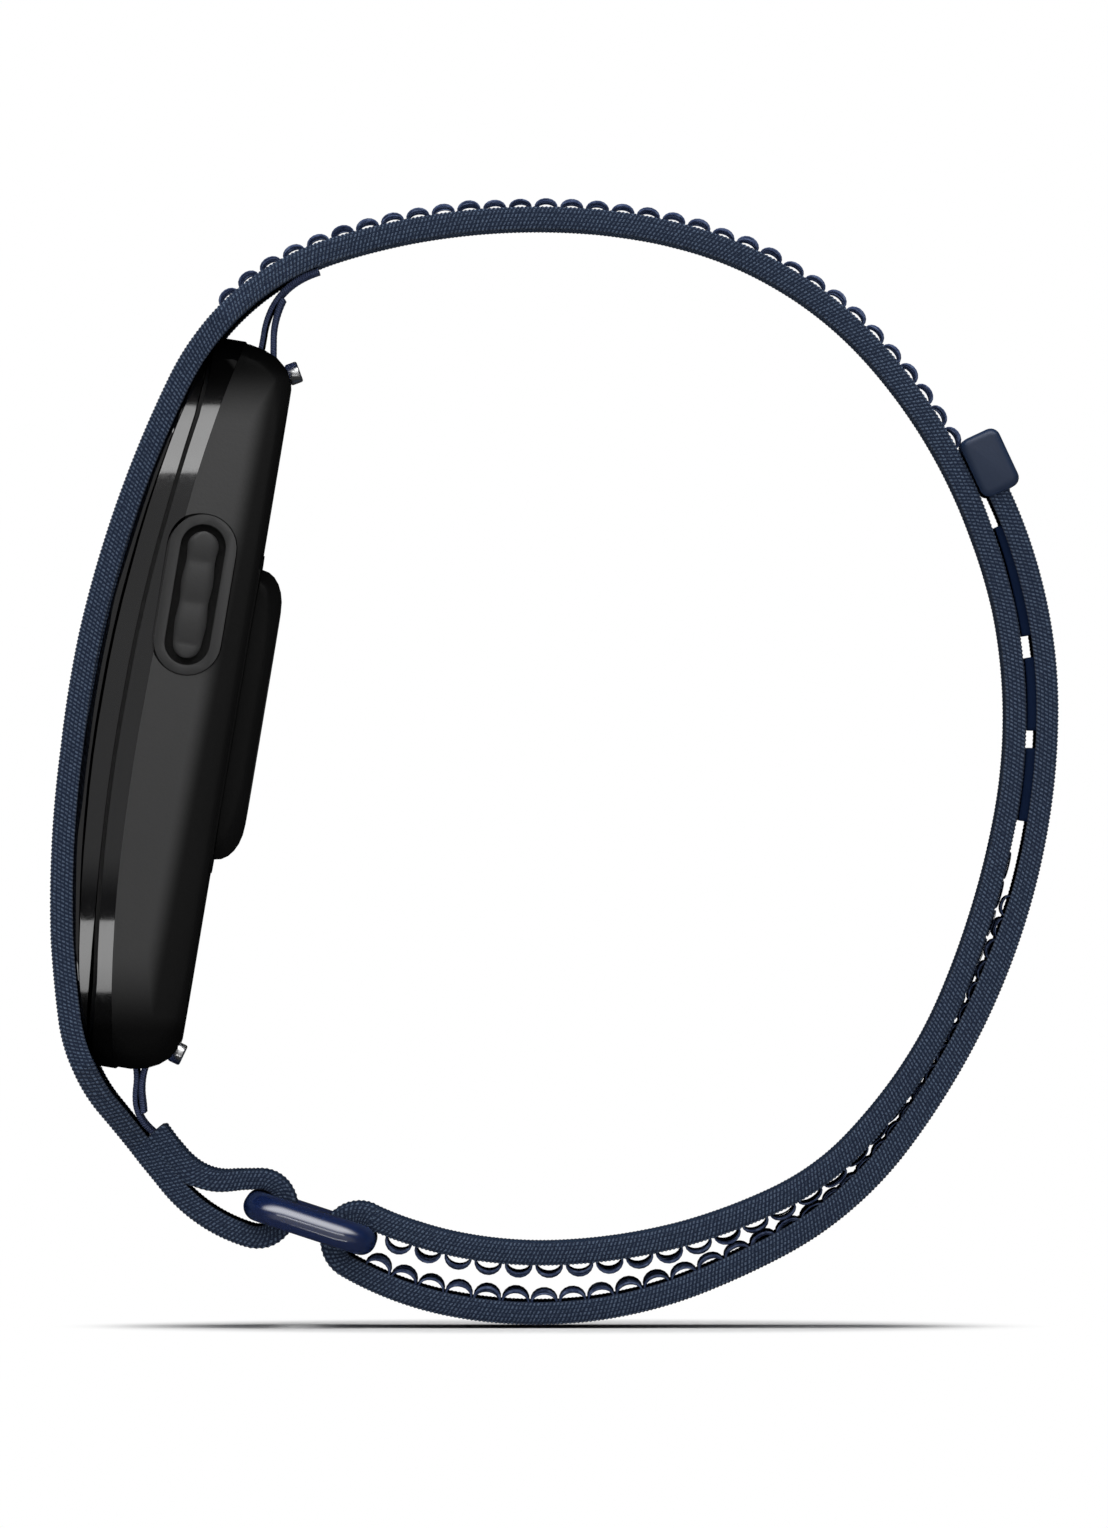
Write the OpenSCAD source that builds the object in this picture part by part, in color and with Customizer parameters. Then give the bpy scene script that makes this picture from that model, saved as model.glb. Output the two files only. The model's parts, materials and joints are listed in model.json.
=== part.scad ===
// Fitness tracker band: a rectangular tracker pod held in a one-piece hook-and-loop strap.
// Frame: X to the right in side view, Y across the strap, Z up, origin on the floor under the loop.

/* [Strap] */
// Width of the strap across the wrist
strap_w = 20; // [18:0.5:20]
// Thickness of the woven strap
strap_t = 1.4; // [1.2:0.05:1.4]
// Width of the strap where it frames the display
panel_w = 31; // [30:0.5:33]
// Width of the display window in the strap
window_w = 22.5; // [20:0.5:24]
// Length of the display window along the strap
window_l = 37; // [30:1:38]
// Pitch of the loop rows
loop_pitch = 1.65; // [1.5:0.05:2.5]

/* [Ring] */
// Diameter of the ring's round bars
bar_d = 1.9; // [1.6:0.05:1.9]
// Gap between a bar and the strap wrapped round it
bar_gap = 0.1; // [0.1:0.01:0.15]

/* [Pod] */
// Width of the pod across the wrist
pod_w = 30; // [29:0.5:30]
// Height of the pod along the strap
pod_h = 46.4; // [46:0.1:47]
// Plan corner radius of the pod
pod_r = 6; // [5:0.5:7]
// Lean of the pod from upright
pod_tilt = 9.5; // [9:0.1:10]
// Thickness of the case walls
wall = 1.8; // [1.6:0.1:1.8]

/* [Button] */
// Travel of the side button
button_travel = 0.4; // [0.2:0.05:0.4]

/* [Spring bars] */
// Outer diameter of a spring bar's tube
tube_d = 1.5; // [1.4:0.05:1.5]
// Travel of a quick-release lever
lever_travel = 1.2; // [1:0.05:1.2]

/* [Hidden] */
$fn = 48;

// ---- Paths: a state is [x, z, heading], an arc is [length, turn in degrees] ----
function arc_to(p, l, a) = abs(a) < 0.01
  ? [p[0] + l * cos(p[2]), p[1] + l * sin(p[2]), p[2]]
  : let (r = l / a * 180 / PI)
    [p[0] + r * (sin(p[2] + a) - sin(p[2])), p[1] + r * (cos(p[2]) - cos(p[2] + a)), p[2] + a];
function along(p, arcs, s, i = 0) = i >= len(arcs)
  ? arc_to(p, s, 0)
  : s <= arcs[i][0]
    ? arc_to(p, s, arcs[i][1] * s / arcs[i][0])
    : along(arc_to(p, arcs[i][0], arcs[i][1]), arcs, s - arcs[i][0], i + 1);
function aside(p, d) = [p[0] - d * sin(p[2]), p[1] + d * cos(p[2])];
function total(arcs, i = 0) = i >= len(arcs) ? 0 : arcs[i][0] + total(arcs, i + 1);
// An offset is a number, or a table of [station, offset]
function offset_at(v, s) = is_list(v) ? lookup(s, v) : v;
// Outline of a band that follows a path from s0 to s1, between two offsets to its left
function band(p, arcs, s0, s1, low, high, n) = concat(
  [for (i = [0:n]) let (s = s0 + (s1 - s0) * i / n) aside(along(p, arcs, s), offset_at(high, s))],
  [for (i = [n:-1:0]) let (s = s0 + (s1 - s0) * i / n) aside(along(p, arcs, s), offset_at(low, s))]
);

// Strap centreline: it leaves the right bar, passes under, right of and over the wrist,
// comes down outside the pod and reaches the left bar.
wrap_r = bar_d / 2 + bar_gap + strap_t / 2;
right_bar = [-12.06, 5.17];
lift_off = 63;
wrist_start = concat(right_bar + wrap_r * [cos(lift_off), sin(lift_off)], lift_off - 90);
wrist_arcs = [
  [5, 14.5], [7, 15], [14, 22], [6, 21.5], [11, 20.5], [12, 13], [32, 53.5], [16, 38],
  [20, 26.5], [13, 47], [23, 18], [18, 14], [6, 35.5], [6, -4.5], [6, 35]
];
wrist_l = total(wrist_arcs);
wrist_end = along(wrist_start, wrist_arcs, wrist_l);
left_bar = aside(wrist_end, wrap_r);
// Tail centreline: it leaves the right bar below and runs outside the strap.
tail_angle = 240;
tail_start = concat(right_bar + wrap_r * [cos(tail_angle), sin(tail_angle)], tail_angle + 90);
tail_arcs = [[7, 19], [16, 33], [5, 5.5], [10, 25], [29, 37], [14, 25.5]];

// Where the strap's parts begin and end along those paths
panel_from = 122;
panel_to = 186;
full_from = 131;
full_to = 180;
hinge_s = 56;
tail_end_s = 82.7;
slit = 0.2;
half_t = strap_t / 2;

// Ring
bar_span = norm(right_bar - left_bar);
bar_lean = atan2(right_bar[1] - left_bar[1], right_bar[0] - left_bar[0]);
ring_inner_w = 21.2;
ring_corner = 1.6;

// Pod: places in its own frame, x towards the wrist, z up its length
pod_at = [-22.77, 38.53];
crown_shift = -1.3;
face_shift = -0.5;
seam_r = 105;
glass_r = 70;
bezel_r = 76;
glass_x = -5.87;
bezel_x = -5.45;
seam_x = -4.22;
seam_w = 0.25;
trim_x = -2.8;
back_x = 2.85;
back_round = 3.6;
back_inset = 2.1;
cavity_w = pod_w - 2 * wall;
cavity_h = 37.2;
ledge_x = 0.9;
cover_x = 1.35;
cover_top = 2.45;
cover_w = 24.6;
cover_h = 36.4;
aperture_w = 25.2;
aperture_h = 39;
boss_y = 10.6;
boss_z = 16.2;
dome_w = 20;
dome_h = 18.4;
dome_x = 4.55;
step_w = 22.6;
step_h = 20.6;
step_x = 2.95;
upper_pin = [1.3, 20.7];
lower_pin = [0.97, -21];
upper_lever_lean = 30;
lower_lever_lean = -16;
pocket_w = 20.3;
pin_reach = 11.3;
tip_r = 0.4;
lug_hole_r = 0.5;
lever_y = -6.5;

// Button, on the near side wall
button_at = [-0.8, 6.95];
button_long = 8.2;
button_wide = 1.5;
stem_r = 0.5;

// Colours
navy = [0.10, 0.15, 0.25];
yarn = [0.20, 0.28, 0.42];
purple = [0.22, 0.22, 0.38];
gloss = [0.02, 0.02, 0.02];
charcoal = [0.10, 0.10, 0.10];
steel = [0.75, 0.75, 0.76];

// ---- Shared shapes ----
module across(w) rotate([90, 0, 0]) linear_extrude(height = w, center = true) children();
module in_pod() translate([pod_at[0], 0, pod_at[1]]) rotate([0, pod_tilt, 0]) children();
function quarter(cx, cy, r, from, n = 8) = [for (i = [0:n]) [cx, cy] + r * [cos(from + 90 * i / n), sin(from + 90 * i / n)]];
function rounded(w, h, r) = concat(
  quarter(w / 2 - r, h / 2 - r, r, 0), quarter(r - w / 2, h / 2 - r, r, 90),
  quarter(r - w / 2, r - h / 2, r, 180), quarter(w / 2 - r, r - h / 2, r, 270)
);
module slab(x0, x1, w, h, r)
  translate([x0, 0, 0]) rotate([90, 0, 90]) linear_extrude(height = x1 - x0) polygon(rounded(w, h, r));
// A convex block through rounded rectangles, each [x of its far side, width, height, corner radius]
module loft(rings) hull() for (g = rings) slab(g[0] - 0.02, g[0], g[1], g[2], g[3]);
// Rings of a rounded edge that rises by e and pulls in by inset on every side
function edge_rings(x1, w, h, r, e, inset, n = 6) =
  [for (i = [0:n]) let (a = 90 * i / n, d = inset * (1 - cos(a)))
    [x1 - e + e * sin(a), w - 2 * d, h - 2 * d, r - d * 0.7]];
// The crowned layer of the pod between two arcs seen from the side
function crown(x0, r, z0, z) = x0 + r - sqrt(r * r - (z - z0) * (z - z0));
module crowned(x0, r0, s0, x1, r1, s1) across(pod_w + 4)
  polygon(concat(
    [for (i = [-12:12]) let (z = 2 * i) [crown(x0, r0, s0, z), z]],
    [for (i = [12:-1:-12]) let (z = 2 * i) [crown(x1, r1, s1, z), z]]
  ));
module racetrack(long, wide, y0, y1)
  translate([button_at[0], y0, button_at[1]]) rotate([-90, 0, 0]) linear_extrude(height = y1 - y0)
    polygon(rounded(wide, long, wide / 2 - 0.001));
module y_rod(at, r, y0, y1)
  translate([at[0], y0, at[1]]) rotate([-90, 0, 0]) cylinder(r = r, h = y1 - y0);
module x_rod(x0, x1, y, z, r) translate([x0, y, z]) rotate([0, 90, 0]) cylinder(r = r, h = x1 - x0);
module box(x, y, z) translate([x[0], y[0], z[0]]) cube([x[1] - x[0], y[1] - y[0], z[1] - z[0]]);

// ---- Front of the pod ----
module cover_glass() color(gloss) in_pod() {
  intersection() {
    crowned(glass_x, glass_r, face_shift, bezel_x - 0.01, bezel_r, face_shift);
    slab(-8, 2, 28.4, 42.6, 5.2);
  }
  intersection() {
    crowned(bezel_x - 0.01, bezel_r, face_shift, glass_x + 0.75, glass_r, face_shift);
    slab(-8, 2, aperture_w - 0.1, aperture_h - 0.1, 4);
  }
}
module display_panel() color([0.03, 0.03, 0.04]) in_pod() intersection() {
  crowned(glass_x + 0.77, glass_r, face_shift, glass_x + 1.5, glass_r, face_shift);
  slab(-8, 2, 23.6, 36.4, 3);
}
module front_bezel() color(gloss) in_pod() difference() {
  intersection() {
    crowned(bezel_x, bezel_r, face_shift, seam_x, seam_r, crown_shift);
    slab(-8, 2, pod_w - 0.8, 44.6, 5.6);
  }
  slab(-9, 3, aperture_w, aperture_h, 4);
}
module seam_gasket() color([0.01, 0.01, 0.01]) in_pod() difference() {
  intersection() {
    crowned(seam_x, seam_r, crown_shift, seam_x + seam_w, seam_r, crown_shift);
    slab(-8, 2, pod_w - 1, 44.4, 5.5);
  }
  slab(-9, 3, aperture_w + 0.6, aperture_h + 0.6, 4.2);
}
module upper_frame() color(gloss) in_pod() difference() {
  intersection() {
    crowned(seam_x + seam_w, seam_r, crown_shift, trim_x, seam_r, crown_shift);
    slab(-8, 2, pod_w - 0.1, pod_h - 0.2, pod_r);
  }
  slab(-9, 3, aperture_w + 0.6, cavity_h, 4.2);
  racetrack(10.2, 4.3, -16, -13.79);
}

// ---- Case ----
module pin_pocket(pin, up) {
  box([pin[0] - 1.35, back_x + 1], [-pocket_w / 2, pocket_w / 2], up ? [19.5, 25] : [-25, -19.5]);
  y_rod(pin, lug_hole_r, -pocket_w / 2 - 1.4, pocket_w / 2 + 1.4);
}
module mid_case() color(charcoal) in_pod() difference() {
  intersection() {
    loft(concat([[-5, pod_w, pod_h, pod_r]], edge_rings(back_x, pod_w, pod_h, pod_r, back_round, back_inset)));
    crowned(trim_x, seam_r, crown_shift, 20, 200, 0);
    slab(-8, 4, pod_w - 0.1, pod_h - 0.2, pod_r);
  }
  difference() {
    slab(-6, ledge_x, cavity_w, cavity_h, 4.2);
    for (y = [-boss_y, boss_y], z = [-boss_z, boss_z]) x_rod(-0.6, 2, y, z, 1.6);
  }
  slab(-6, 3, 23.2, 34, 4);
  slab(cover_x, 4, cover_w + 0.1, cover_h + 0.1, 3.05);
  for (y = [-boss_y, boss_y], z = [-boss_z, boss_z]) x_rod(-0.2, 3, y, z, 0.5);
  pin_pocket(upper_pin, true);
  pin_pocket(lower_pin, false);
  racetrack(10.2, 4.3, -16, -13.79);
  y_rod(button_at, 1.25, -15, -12);
}
module back_cover() color(charcoal) in_pod() difference() {
  union() {
    slab(cover_x + 0.15, cover_top, cover_w, cover_h, 3);
    slab(cover_top - 0.1, step_x - 0.15, step_w, step_h, 5);
    slab(step_x - 0.2, step_x, step_w - 0.4, step_h - 0.4, 4.8);
  }
  slab(1, 4, 15, 14.6, 3);
  for (y = [-boss_y, boss_y], z = [-boss_z, boss_z]) {
    x_rod(1, 3, y, z, 0.62);
    x_rod(1.9, 3, y, z, 1.05);
  }
  for (y = [-2.6, 2.6]) x_rod(1, 3, y, -14, 1.05);
}
module back_gasket() color([0.05, 0.05, 0.05]) in_pod() difference() {
  slab(cover_x + 0.01, cover_x + 0.14, cover_w - 0.1, cover_h - 0.1, 3);
  slab(1, 3, 23.4, 34.2, 4);
  for (y = [-boss_y, boss_y], z = [-boss_z, boss_z]) x_rod(1, 3, y, z, 1.1);
}
module back_cover_screws() color(steel) in_pod()
  for (y = [-boss_y, boss_y], z = [-boss_z, boss_z]) difference() {
    union() {
      x_rod(0, 1.95, y, z, 0.46);
      x_rod(1.92, 2.4, y, z, 1);
    }
    box([2.15, 3], [y - 0.14, y + 0.14], [z - 0.6, z + 0.6]);
    box([2.15, 3], [y - 0.6, y + 0.6], [z - 0.14, z + 0.14]);
  }

// ---- Sensor dome and what is under it ----
module sensor_dome() color(charcoal) in_pod() difference() {
  loft(concat([[step_x + 0.03, dome_w, dome_h, 5]], edge_rings(dome_x, dome_w, dome_h, 5, 1.5, 2.4)));
  slab(1, 3.75, 15, 14.6, 3);
  slab(3, 6, 12.8, 12.8, 6.399);
}
module sensor_window() color([0.02, 0.02, 0.03]) in_pod() x_rod(3.77, dome_x, 0, 0, 6.35);
module light_baffle() color([0.02, 0.02, 0.02]) in_pod() difference() {
  x_rod(3.02, 3.7, 0, 0, 6);
  x_rod(2, 5, 0, 0, 5.5);
}
module sensor_board() color([0.02, 0.16, 0.10]) in_pod() x_rod(2.5, 3, 0, 0, 6.9);
module sensor_leds() color([0.55, 0.85, 0.5]) in_pod()
  for (y = [-0.9, 0.9]) box([3.01, 3.35], [y - 0.6, y + 0.6], [-0.6, 0.6]);
module photodiodes() color([0.12, 0.12, 0.2]) in_pod()
  for (a = [0, 90, 180, 270]) translate([0, 3.6 * cos(a), 3.6 * sin(a)])
    box([3.01, 3.3], [-0.9, 0.9], [-0.9, 0.9]);

// ---- Electronics in the case ----
module main_board() color([0.02, 0.22, 0.14]) in_pod() box([0.2, 0.8], [-11, 11], [-14.2, 14.2]);
module shield_can() color(steel) in_pod() difference() {
  box([-1.1, 0.19], [-9.5, -1.5], [4, 13]);
  box([-0.95, 0.3], [-9.35, -1.65], [4.15, 12.85]);
}
module board_chips() color([0.06, 0.06, 0.07]) in_pod() {
  box([-0.6, 0.19], [-8.4, -3.4], [6, 11]);
  box([-0.4, 0.19], [-3.2, -2.2], [5, 7]);
  box([0.81, 1.25], [-8, -4], [9.2, 12.4]);
  box([0.81, 1.15], [3, 6], [9.4, 12]);
}
module battery() color([0.55, 0.57, 0.6]) in_pod() box([-2.2, 0.1], [-10, 10], [-14, 2]);
// The display's ribbon leaves the panel's back, curls under the battery and meets the main board's edge
flex_z = -16.2;
flex_start = [crown(glass_x + 1.5, glass_r, face_shift, flex_z) + 0.09, flex_z, -77];
module display_flex() color([0.55, 0.33, 0.08]) in_pod() translate([0, 3, 0]) across(5)
  polygon(band(flex_start, [[0.6, 0], [4.1, 167], [2.1, 0]], 0, 6.8, -0.06, 0.06, 24));
module haptic_can() color(steel) in_pod() difference() {
  x_rod(-2.1, 0.15, 5.6, 8.4, 3.9);
  x_rod(-1.95, 0, 5.6, 8.4, 3.7);
}
module haptic_mass() color([0.4, 0.38, 0.36]) in_pod() x_rod(-1.55, -0.4, 5.6, 8.4, 3.3);

// ---- Button ----
module button_bezel() color(charcoal) in_pod() difference() {
  racetrack(10.1, 4.2, -15, -13.8);
  racetrack(8.9, 2.85, -16, -14.1);
  y_rod(button_at, stem_r + 0.06, -16, -13);
}
module button_cap() color([0.13, 0.13, 0.13]) in_pod() {
  translate([button_at[0], -14.8 - button_travel, button_at[1]]) rotate([-90, 0, 0]) linear_extrude(height = 0.6) {
    polygon(rounded(button_wide, button_long, button_wide / 2 - 0.001));
    for (z = [-2.75, 0, 2.75]) translate([0, z]) circle(r = 0.95);
  }
  y_rod(button_at, stem_r, -14.2 - button_travel, -12.5 - button_travel);
}
module button_seal() color([0.02, 0.02, 0.02]) in_pod() difference() {
  y_rod(button_at, 1.2, -13.78, -13.3);
  y_rod(button_at, stem_r + 0.06, -14, -13);
}
module button_switch() color([0.7, 0.7, 0.72]) in_pod()
  box([button_at[0] - 1.2, button_at[0] + 1.2], [-12.45, -11.8], [button_at[1] - 1.2, button_at[1] + 1.2]);
module side_flex() color([0.55, 0.33, 0.08]) in_pod() box([-2.2, 0.1], [-11.79, -11.64], [4.5, 13.8]);
module charging_contacts() color([0.85, 0.65, 0.25]) in_pod()
  for (y = [-2.6, 2.6]) x_rod(1.2, 2.4, y, -14, 1);

// ---- Quick-release spring bars: pin is the bar's place in the pod's frame ----
module bar_tube(pin, lean) color(steel) in_pod() difference() {
  y_rod(pin, tube_d / 2, -8.6, 9.6);
  y_rod(pin, tip_r + 0.05, -9, 10);
  translate([pin[0], 0, pin[1]]) rotate([0, -lean, 0])
    box([0.1, 1], [lever_y - 0.5, lever_y + lever_travel + 0.5], [-0.42, 0.42]);
}
module fixed_tip(pin) color(steel) in_pod() y_rod(pin, tip_r + 0.03, 8, pin_reach);
module moving_tip(pin) color(steel) in_pod() y_rod(pin, tip_r, -pin_reach, -5.1);
module lever(pin, lean) color(steel) in_pod()
  translate([pin[0], lever_y, pin[1]]) rotate([0, 90 - lean, 0]) {
    translate([0, 0, tip_r + 0.01]) cylinder(r = 0.36, h = 1.2);
    translate([0, 0, 1.5]) cylinder(r = 0.68, h = 0.8);
  }
module coil_spring(pin) color(steel) in_pod() {
  turns = 8;
  steps = 8;
  sides = 6;
  wire = 0.07;
  mean_r = 0.3;
  y0 = -5;
  len_y = 6;
  m = turns * steps;
  polyhedron(
    [for (i = [0:m], k = [0:sides - 1])
      let (a = 360 * i / steps, b = 360 * k / sides, r = mean_r + wire * cos(b))
      [pin[0] + r * cos(a), y0 + len_y * i / m + wire * sin(b), pin[1] + r * sin(a)]],
    concat(
      [[for (k = [0:sides - 1]) k]],
      [for (i = [0:m - 1], k = [0:sides - 1])
        [i * sides + k, (i + 1) * sides + k, (i + 1) * sides + (k + 1) % sides, i * sides + (k + 1) % sides]],
      [[for (k = [sides - 1:-1:0]) m * sides + k]]
    )
  );
}
module upper_bar_tube() bar_tube(upper_pin, upper_lever_lean);
module upper_fixed_tip() fixed_tip(upper_pin);
module upper_moving_tip() moving_tip(upper_pin);
module upper_lever() lever(upper_pin, upper_lever_lean);
module upper_spring() coil_spring(upper_pin);
module lower_bar_tube() bar_tube(lower_pin, lower_lever_lean);
module lower_fixed_tip() fixed_tip(lower_pin);
module lower_moving_tip() moving_tip(lower_pin);
module lower_lever() lever(lower_pin, lower_lever_lean);
module lower_spring() coil_spring(lower_pin);

// ---- Lug ribbons: each goes round its bar and back to the strap ----
function world(p) = pod_at + [p[0] * cos(pod_tilt) + p[1] * sin(pod_tilt), p[1] * cos(pod_tilt) - p[0] * sin(pod_tilt)];
ribbon_t = 0.32;
ribbon_w = 18;
ribbon_r = tube_d / 2 + 0.06 + ribbon_t / 2;
// Starts beside the bar at a polar angle, goes round it by turn, then follows the arcs of the ply
module ribbon(pin, from, turn, ply_a, ply_b, notch) color(purple) difference() {
  at = world(pin);
  wrap = [ribbon_r * abs(turn) * PI / 180, turn];
  start = [at[0] + ribbon_r * cos(from), at[1] + ribbon_r * sin(from), from + 90];
  back = [start[0], start[1], start[2] + 180];
  across(ribbon_w) union() {
    polygon(band(start, [wrap], 0, wrap[0], -ribbon_t / 2, ribbon_t / 2, 16));
    polygon(band(along(start, [wrap], wrap[0]), ply_a, 0, total(ply_a), -ribbon_t / 2, ribbon_t / 2, 12));
    polygon(band(back, ply_b, 0, total(ply_b), -ribbon_t / 2, ribbon_t / 2, 12));
  }
  translate([at[0], 0, at[1]]) box([-4, 4], notch, [-0.9, 0.9]);
}
lever_notch = [lever_y - 0.9, lever_y + lever_travel + 0.9];
module upper_lug_ribbon() ribbon(upper_pin, 154.3, 235,
  [[1.5, -29.3], [1, -0.9], [1, -11], [1, -10.6]],
  [[1.7, 13.3], [1.2, 3.8], [1.2, -13.2], [1.1, -13.7], [1, -14.4], [1, -15.2], [1.2, -14.5]], lever_notch);
module lower_lug_ribbon() ribbon(lower_pin, -61.8, 215.5,
  [[1.6, 40.7], [0.9, -9.8], [0.9, -12.2], [0.9, 11], [0.9, 31.8], [0.8, 14.1], [0.25, -2]],
  [[1.5, 47.4], [0.9, 11.7], [0.9, 11], [0.8, -5.9]], lever_notch);

// ---- Strap ----
// Strap as a band of varying width between two stations along the wrist path
function panel_width(s) = lookup(s, [[panel_from, strap_w], [full_from, panel_w], [full_to, panel_w], [panel_to, strap_w]]);
module strap_window_panel() color(navy) difference() {
  n = 40;
  polyhedron(
    [for (i = [0:n]) let (s = panel_from + (panel_to - panel_from) * i / n, p = along(wrist_start, wrist_arcs, s),
        a = aside(p, half_t), b = aside(p, -half_t), w = panel_width(s) / 2)
      each [[a[0], -w, a[1]], [a[0], w, a[1]], [b[0], w, b[1]], [b[0], -w, b[1]]]],
    concat([[3, 2, 1, 0]],
      [for (i = [0:n - 1], k = [0:3]) [4 * i + k, 4 * i + (k + 1) % 4, 4 * i + 4 + (k + 1) % 4, 4 * i + 4 + k]],
      [[4 * n, 4 * n + 1, 4 * n + 2, 4 * n + 3]])
  );
  translate([pod_at[0], 0, pod_at[1]]) rotate([0, pod_tilt, 0])
    slab(-12, -1, window_w, window_l, 4);
}
module strap_over_wrist() color(navy) across(strap_w)
  polygon(band(wrist_start, wrist_arcs, 0.05, panel_from - 0.05, -half_t, half_t, 90));
// The short end goes round the left bar and lies back on itself, pressed thin where it is sewn
fold = [[1.8, 0], [2.7, -50.5], [3, 2]];
fold_face = [[0, -0.7], [2.4, -0.62], [3.7, -0.34], [5, -0.02], [6.2, 0], [7.5, -0.16]];
module strap_short_end() color(navy) across(strap_w) union() {
  turn = 540 - wrist_end[2];
  wrap_l = wrap_r * turn * PI / 180;
  polygon(band(wrist_start, wrist_arcs, panel_to + 0.05, wrist_l, -half_t, half_t, 12));
  polygon(band(wrist_end, [[wrap_l, turn]], 0, wrap_l, -half_t, half_t, 24));
  polygon(band(along(wrist_end, [[wrap_l, turn]], wrap_l), fold, 0, total(fold), fold_face, half_t, 24));
}
module strap_ring_turn() color(navy) across(strap_w) {
  turn = tail_angle - lift_off;
  wrap_l = wrap_r * turn * PI / 180;
  polygon(band(concat(right_bar + wrap_r * [cos(lift_off), sin(lift_off)], lift_off + 90),
    [[wrap_l, turn]], 0, wrap_l, -half_t, half_t, 24));
}
module strap_tail() color(navy) across(strap_w)
  polygon(band(tail_start, tail_arcs, 0.05, hinge_s - slit / 2, -half_t, half_t, 44));
module strap_tail_end() color(navy) across(strap_w)
  polygon(band(tail_start, tail_arcs, hinge_s + slit / 2, tail_end_s, -half_t, half_t, 20));

// ---- Ring, tab and pads ----
module strap_ring() color([0.05, 0.10, 0.24])
  translate([left_bar[0], 0, left_bar[1]]) rotate([0, -bar_lean, 0]) {
    w = ring_inner_w / 2 + bar_d / 2;
    for (x = [0, bar_span]) translate([x, 0, 0]) rotate([90, 0, 0])
      cylinder(d = bar_d, h = 2 * (w - ring_corner), center = true);
    for (y = [-w, w]) translate([ring_corner, y, 0]) rotate([0, 90, 0])
      cylinder(d = bar_d, h = bar_span - 2 * ring_corner);
    for (c = [[0, 1, 90], [0, -1, 180], [1, -1, 270], [1, 1, 0]])
      translate([c[0] == 0 ? ring_corner : bar_span - ring_corner, c[1] * (w - ring_corner), 0]) rotate([0, 0, c[2]])
        rotate_extrude(angle = 90) translate([ring_corner, 0]) circle(d = bar_d);
  }
tab_s = 83.1;
tab_l = 3.65;
tab_t = 2.5;
tab_w = 21;
module end_tab() color([0.09, 0.14, 0.26]) {
  p = along(tail_start, tail_arcs, tab_s);
  translate([p[0], 0, p[1]]) rotate([0, 90 - p[2], 0]) difference() {
    translate([0.43, 0, 0]) across(tab_w) polygon(rounded(tab_t, tab_l, 0.55));
    box([-half_t - 0.02, half_t + 0.02], [-strap_w / 2 - 0.02, strap_w / 2 + 0.02], [-3, tail_end_s - tab_s + 0.03]);
  }
}
pad_face = [[74, half_t + 0.3], [79.2, half_t + 0.22]];
pads = [[60.1, 64.7], [65.9, 70.6], [72, 79.2]];
module hook_pads() color([0.05, 0.08, 0.16]) across(strap_w - 1)
  for (g = pads) polygon(band(tail_start, tail_arcs, g[0], g[1], half_t + 0.01, pad_face, 8));

// ---- Loop rows: low arches of yarn across the strap ----
function arch(p, side, h) = let (w = 0.72, y = 0.13, base = half_t + 0.03)
  [for (k = [0:13]) let (out = k < 7, a = out ? 30 * k : 30 * (13 - k), ww = out ? w : w - 2 * y, hh = out ? h : h - 2 * y)
    aside(arc_to(p, -ww * cos(a), 0), side * (base + hh * sin(a)))];
module loop_rows(p, arcs, s0, s1, side, heights) {
  n = floor((s1 - s0) / loop_pitch);
  across(strap_w - 2) for (i = [0:n]) {
    s = s0 + i * loop_pitch;
    polygon(arch(along(p, arcs, s), side, lookup(s, heights)));
  }
}
module loops_outer() color(yarn) loop_rows(wrist_start, wrist_arcs, 82, 129, -1, [[0, 0.8]]);
module loops_lower() color(yarn)
  loop_rows(wrist_start, wrist_arcs, 3, 52, -1, [[3, 0.95], [18, 0.9], [24, 0.55], [30, 0.35], [36, 0.285], [44, 0.285], [52, 0.3]]);
module loops_tail() color(yarn)
  loop_rows(tail_start, tail_arcs, 3, 28, 1, [[3, 0.95], [20, 0.9], [26, 0.55], [32, 0.35]]);

cover_glass();
display_panel();
front_bezel();
seam_gasket();
upper_frame();
mid_case();
back_cover();
back_gasket();
back_cover_screws();
sensor_dome();
sensor_window();
light_baffle();
sensor_board();
sensor_leds();
photodiodes();
main_board();
shield_can();
board_chips();
battery();
display_flex();
haptic_can();
haptic_mass();
button_bezel();
button_cap();
button_seal();
button_switch();
side_flex();
charging_contacts();
upper_bar_tube();
upper_fixed_tip();
upper_moving_tip();
upper_lever();
upper_spring();
lower_bar_tube();
lower_fixed_tip();
lower_moving_tip();
lower_lever();
lower_spring();
upper_lug_ribbon();
lower_lug_ribbon();
strap_window_panel();
strap_over_wrist();
strap_short_end();
strap_ring_turn();
strap_tail();
strap_tail_end();
strap_ring();
end_tab();
hook_pads();
loops_outer();
loops_lower();
loops_tail();
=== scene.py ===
"""Looks of a fitness tracker band: the pod, its woven strap, the ring, and the yarn loops."""

from __future__ import annotations

import json
import logging
import math
from dataclasses import dataclass, field
from enum import Enum
from typing import Any, Callable, Iterable, Sequence

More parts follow.
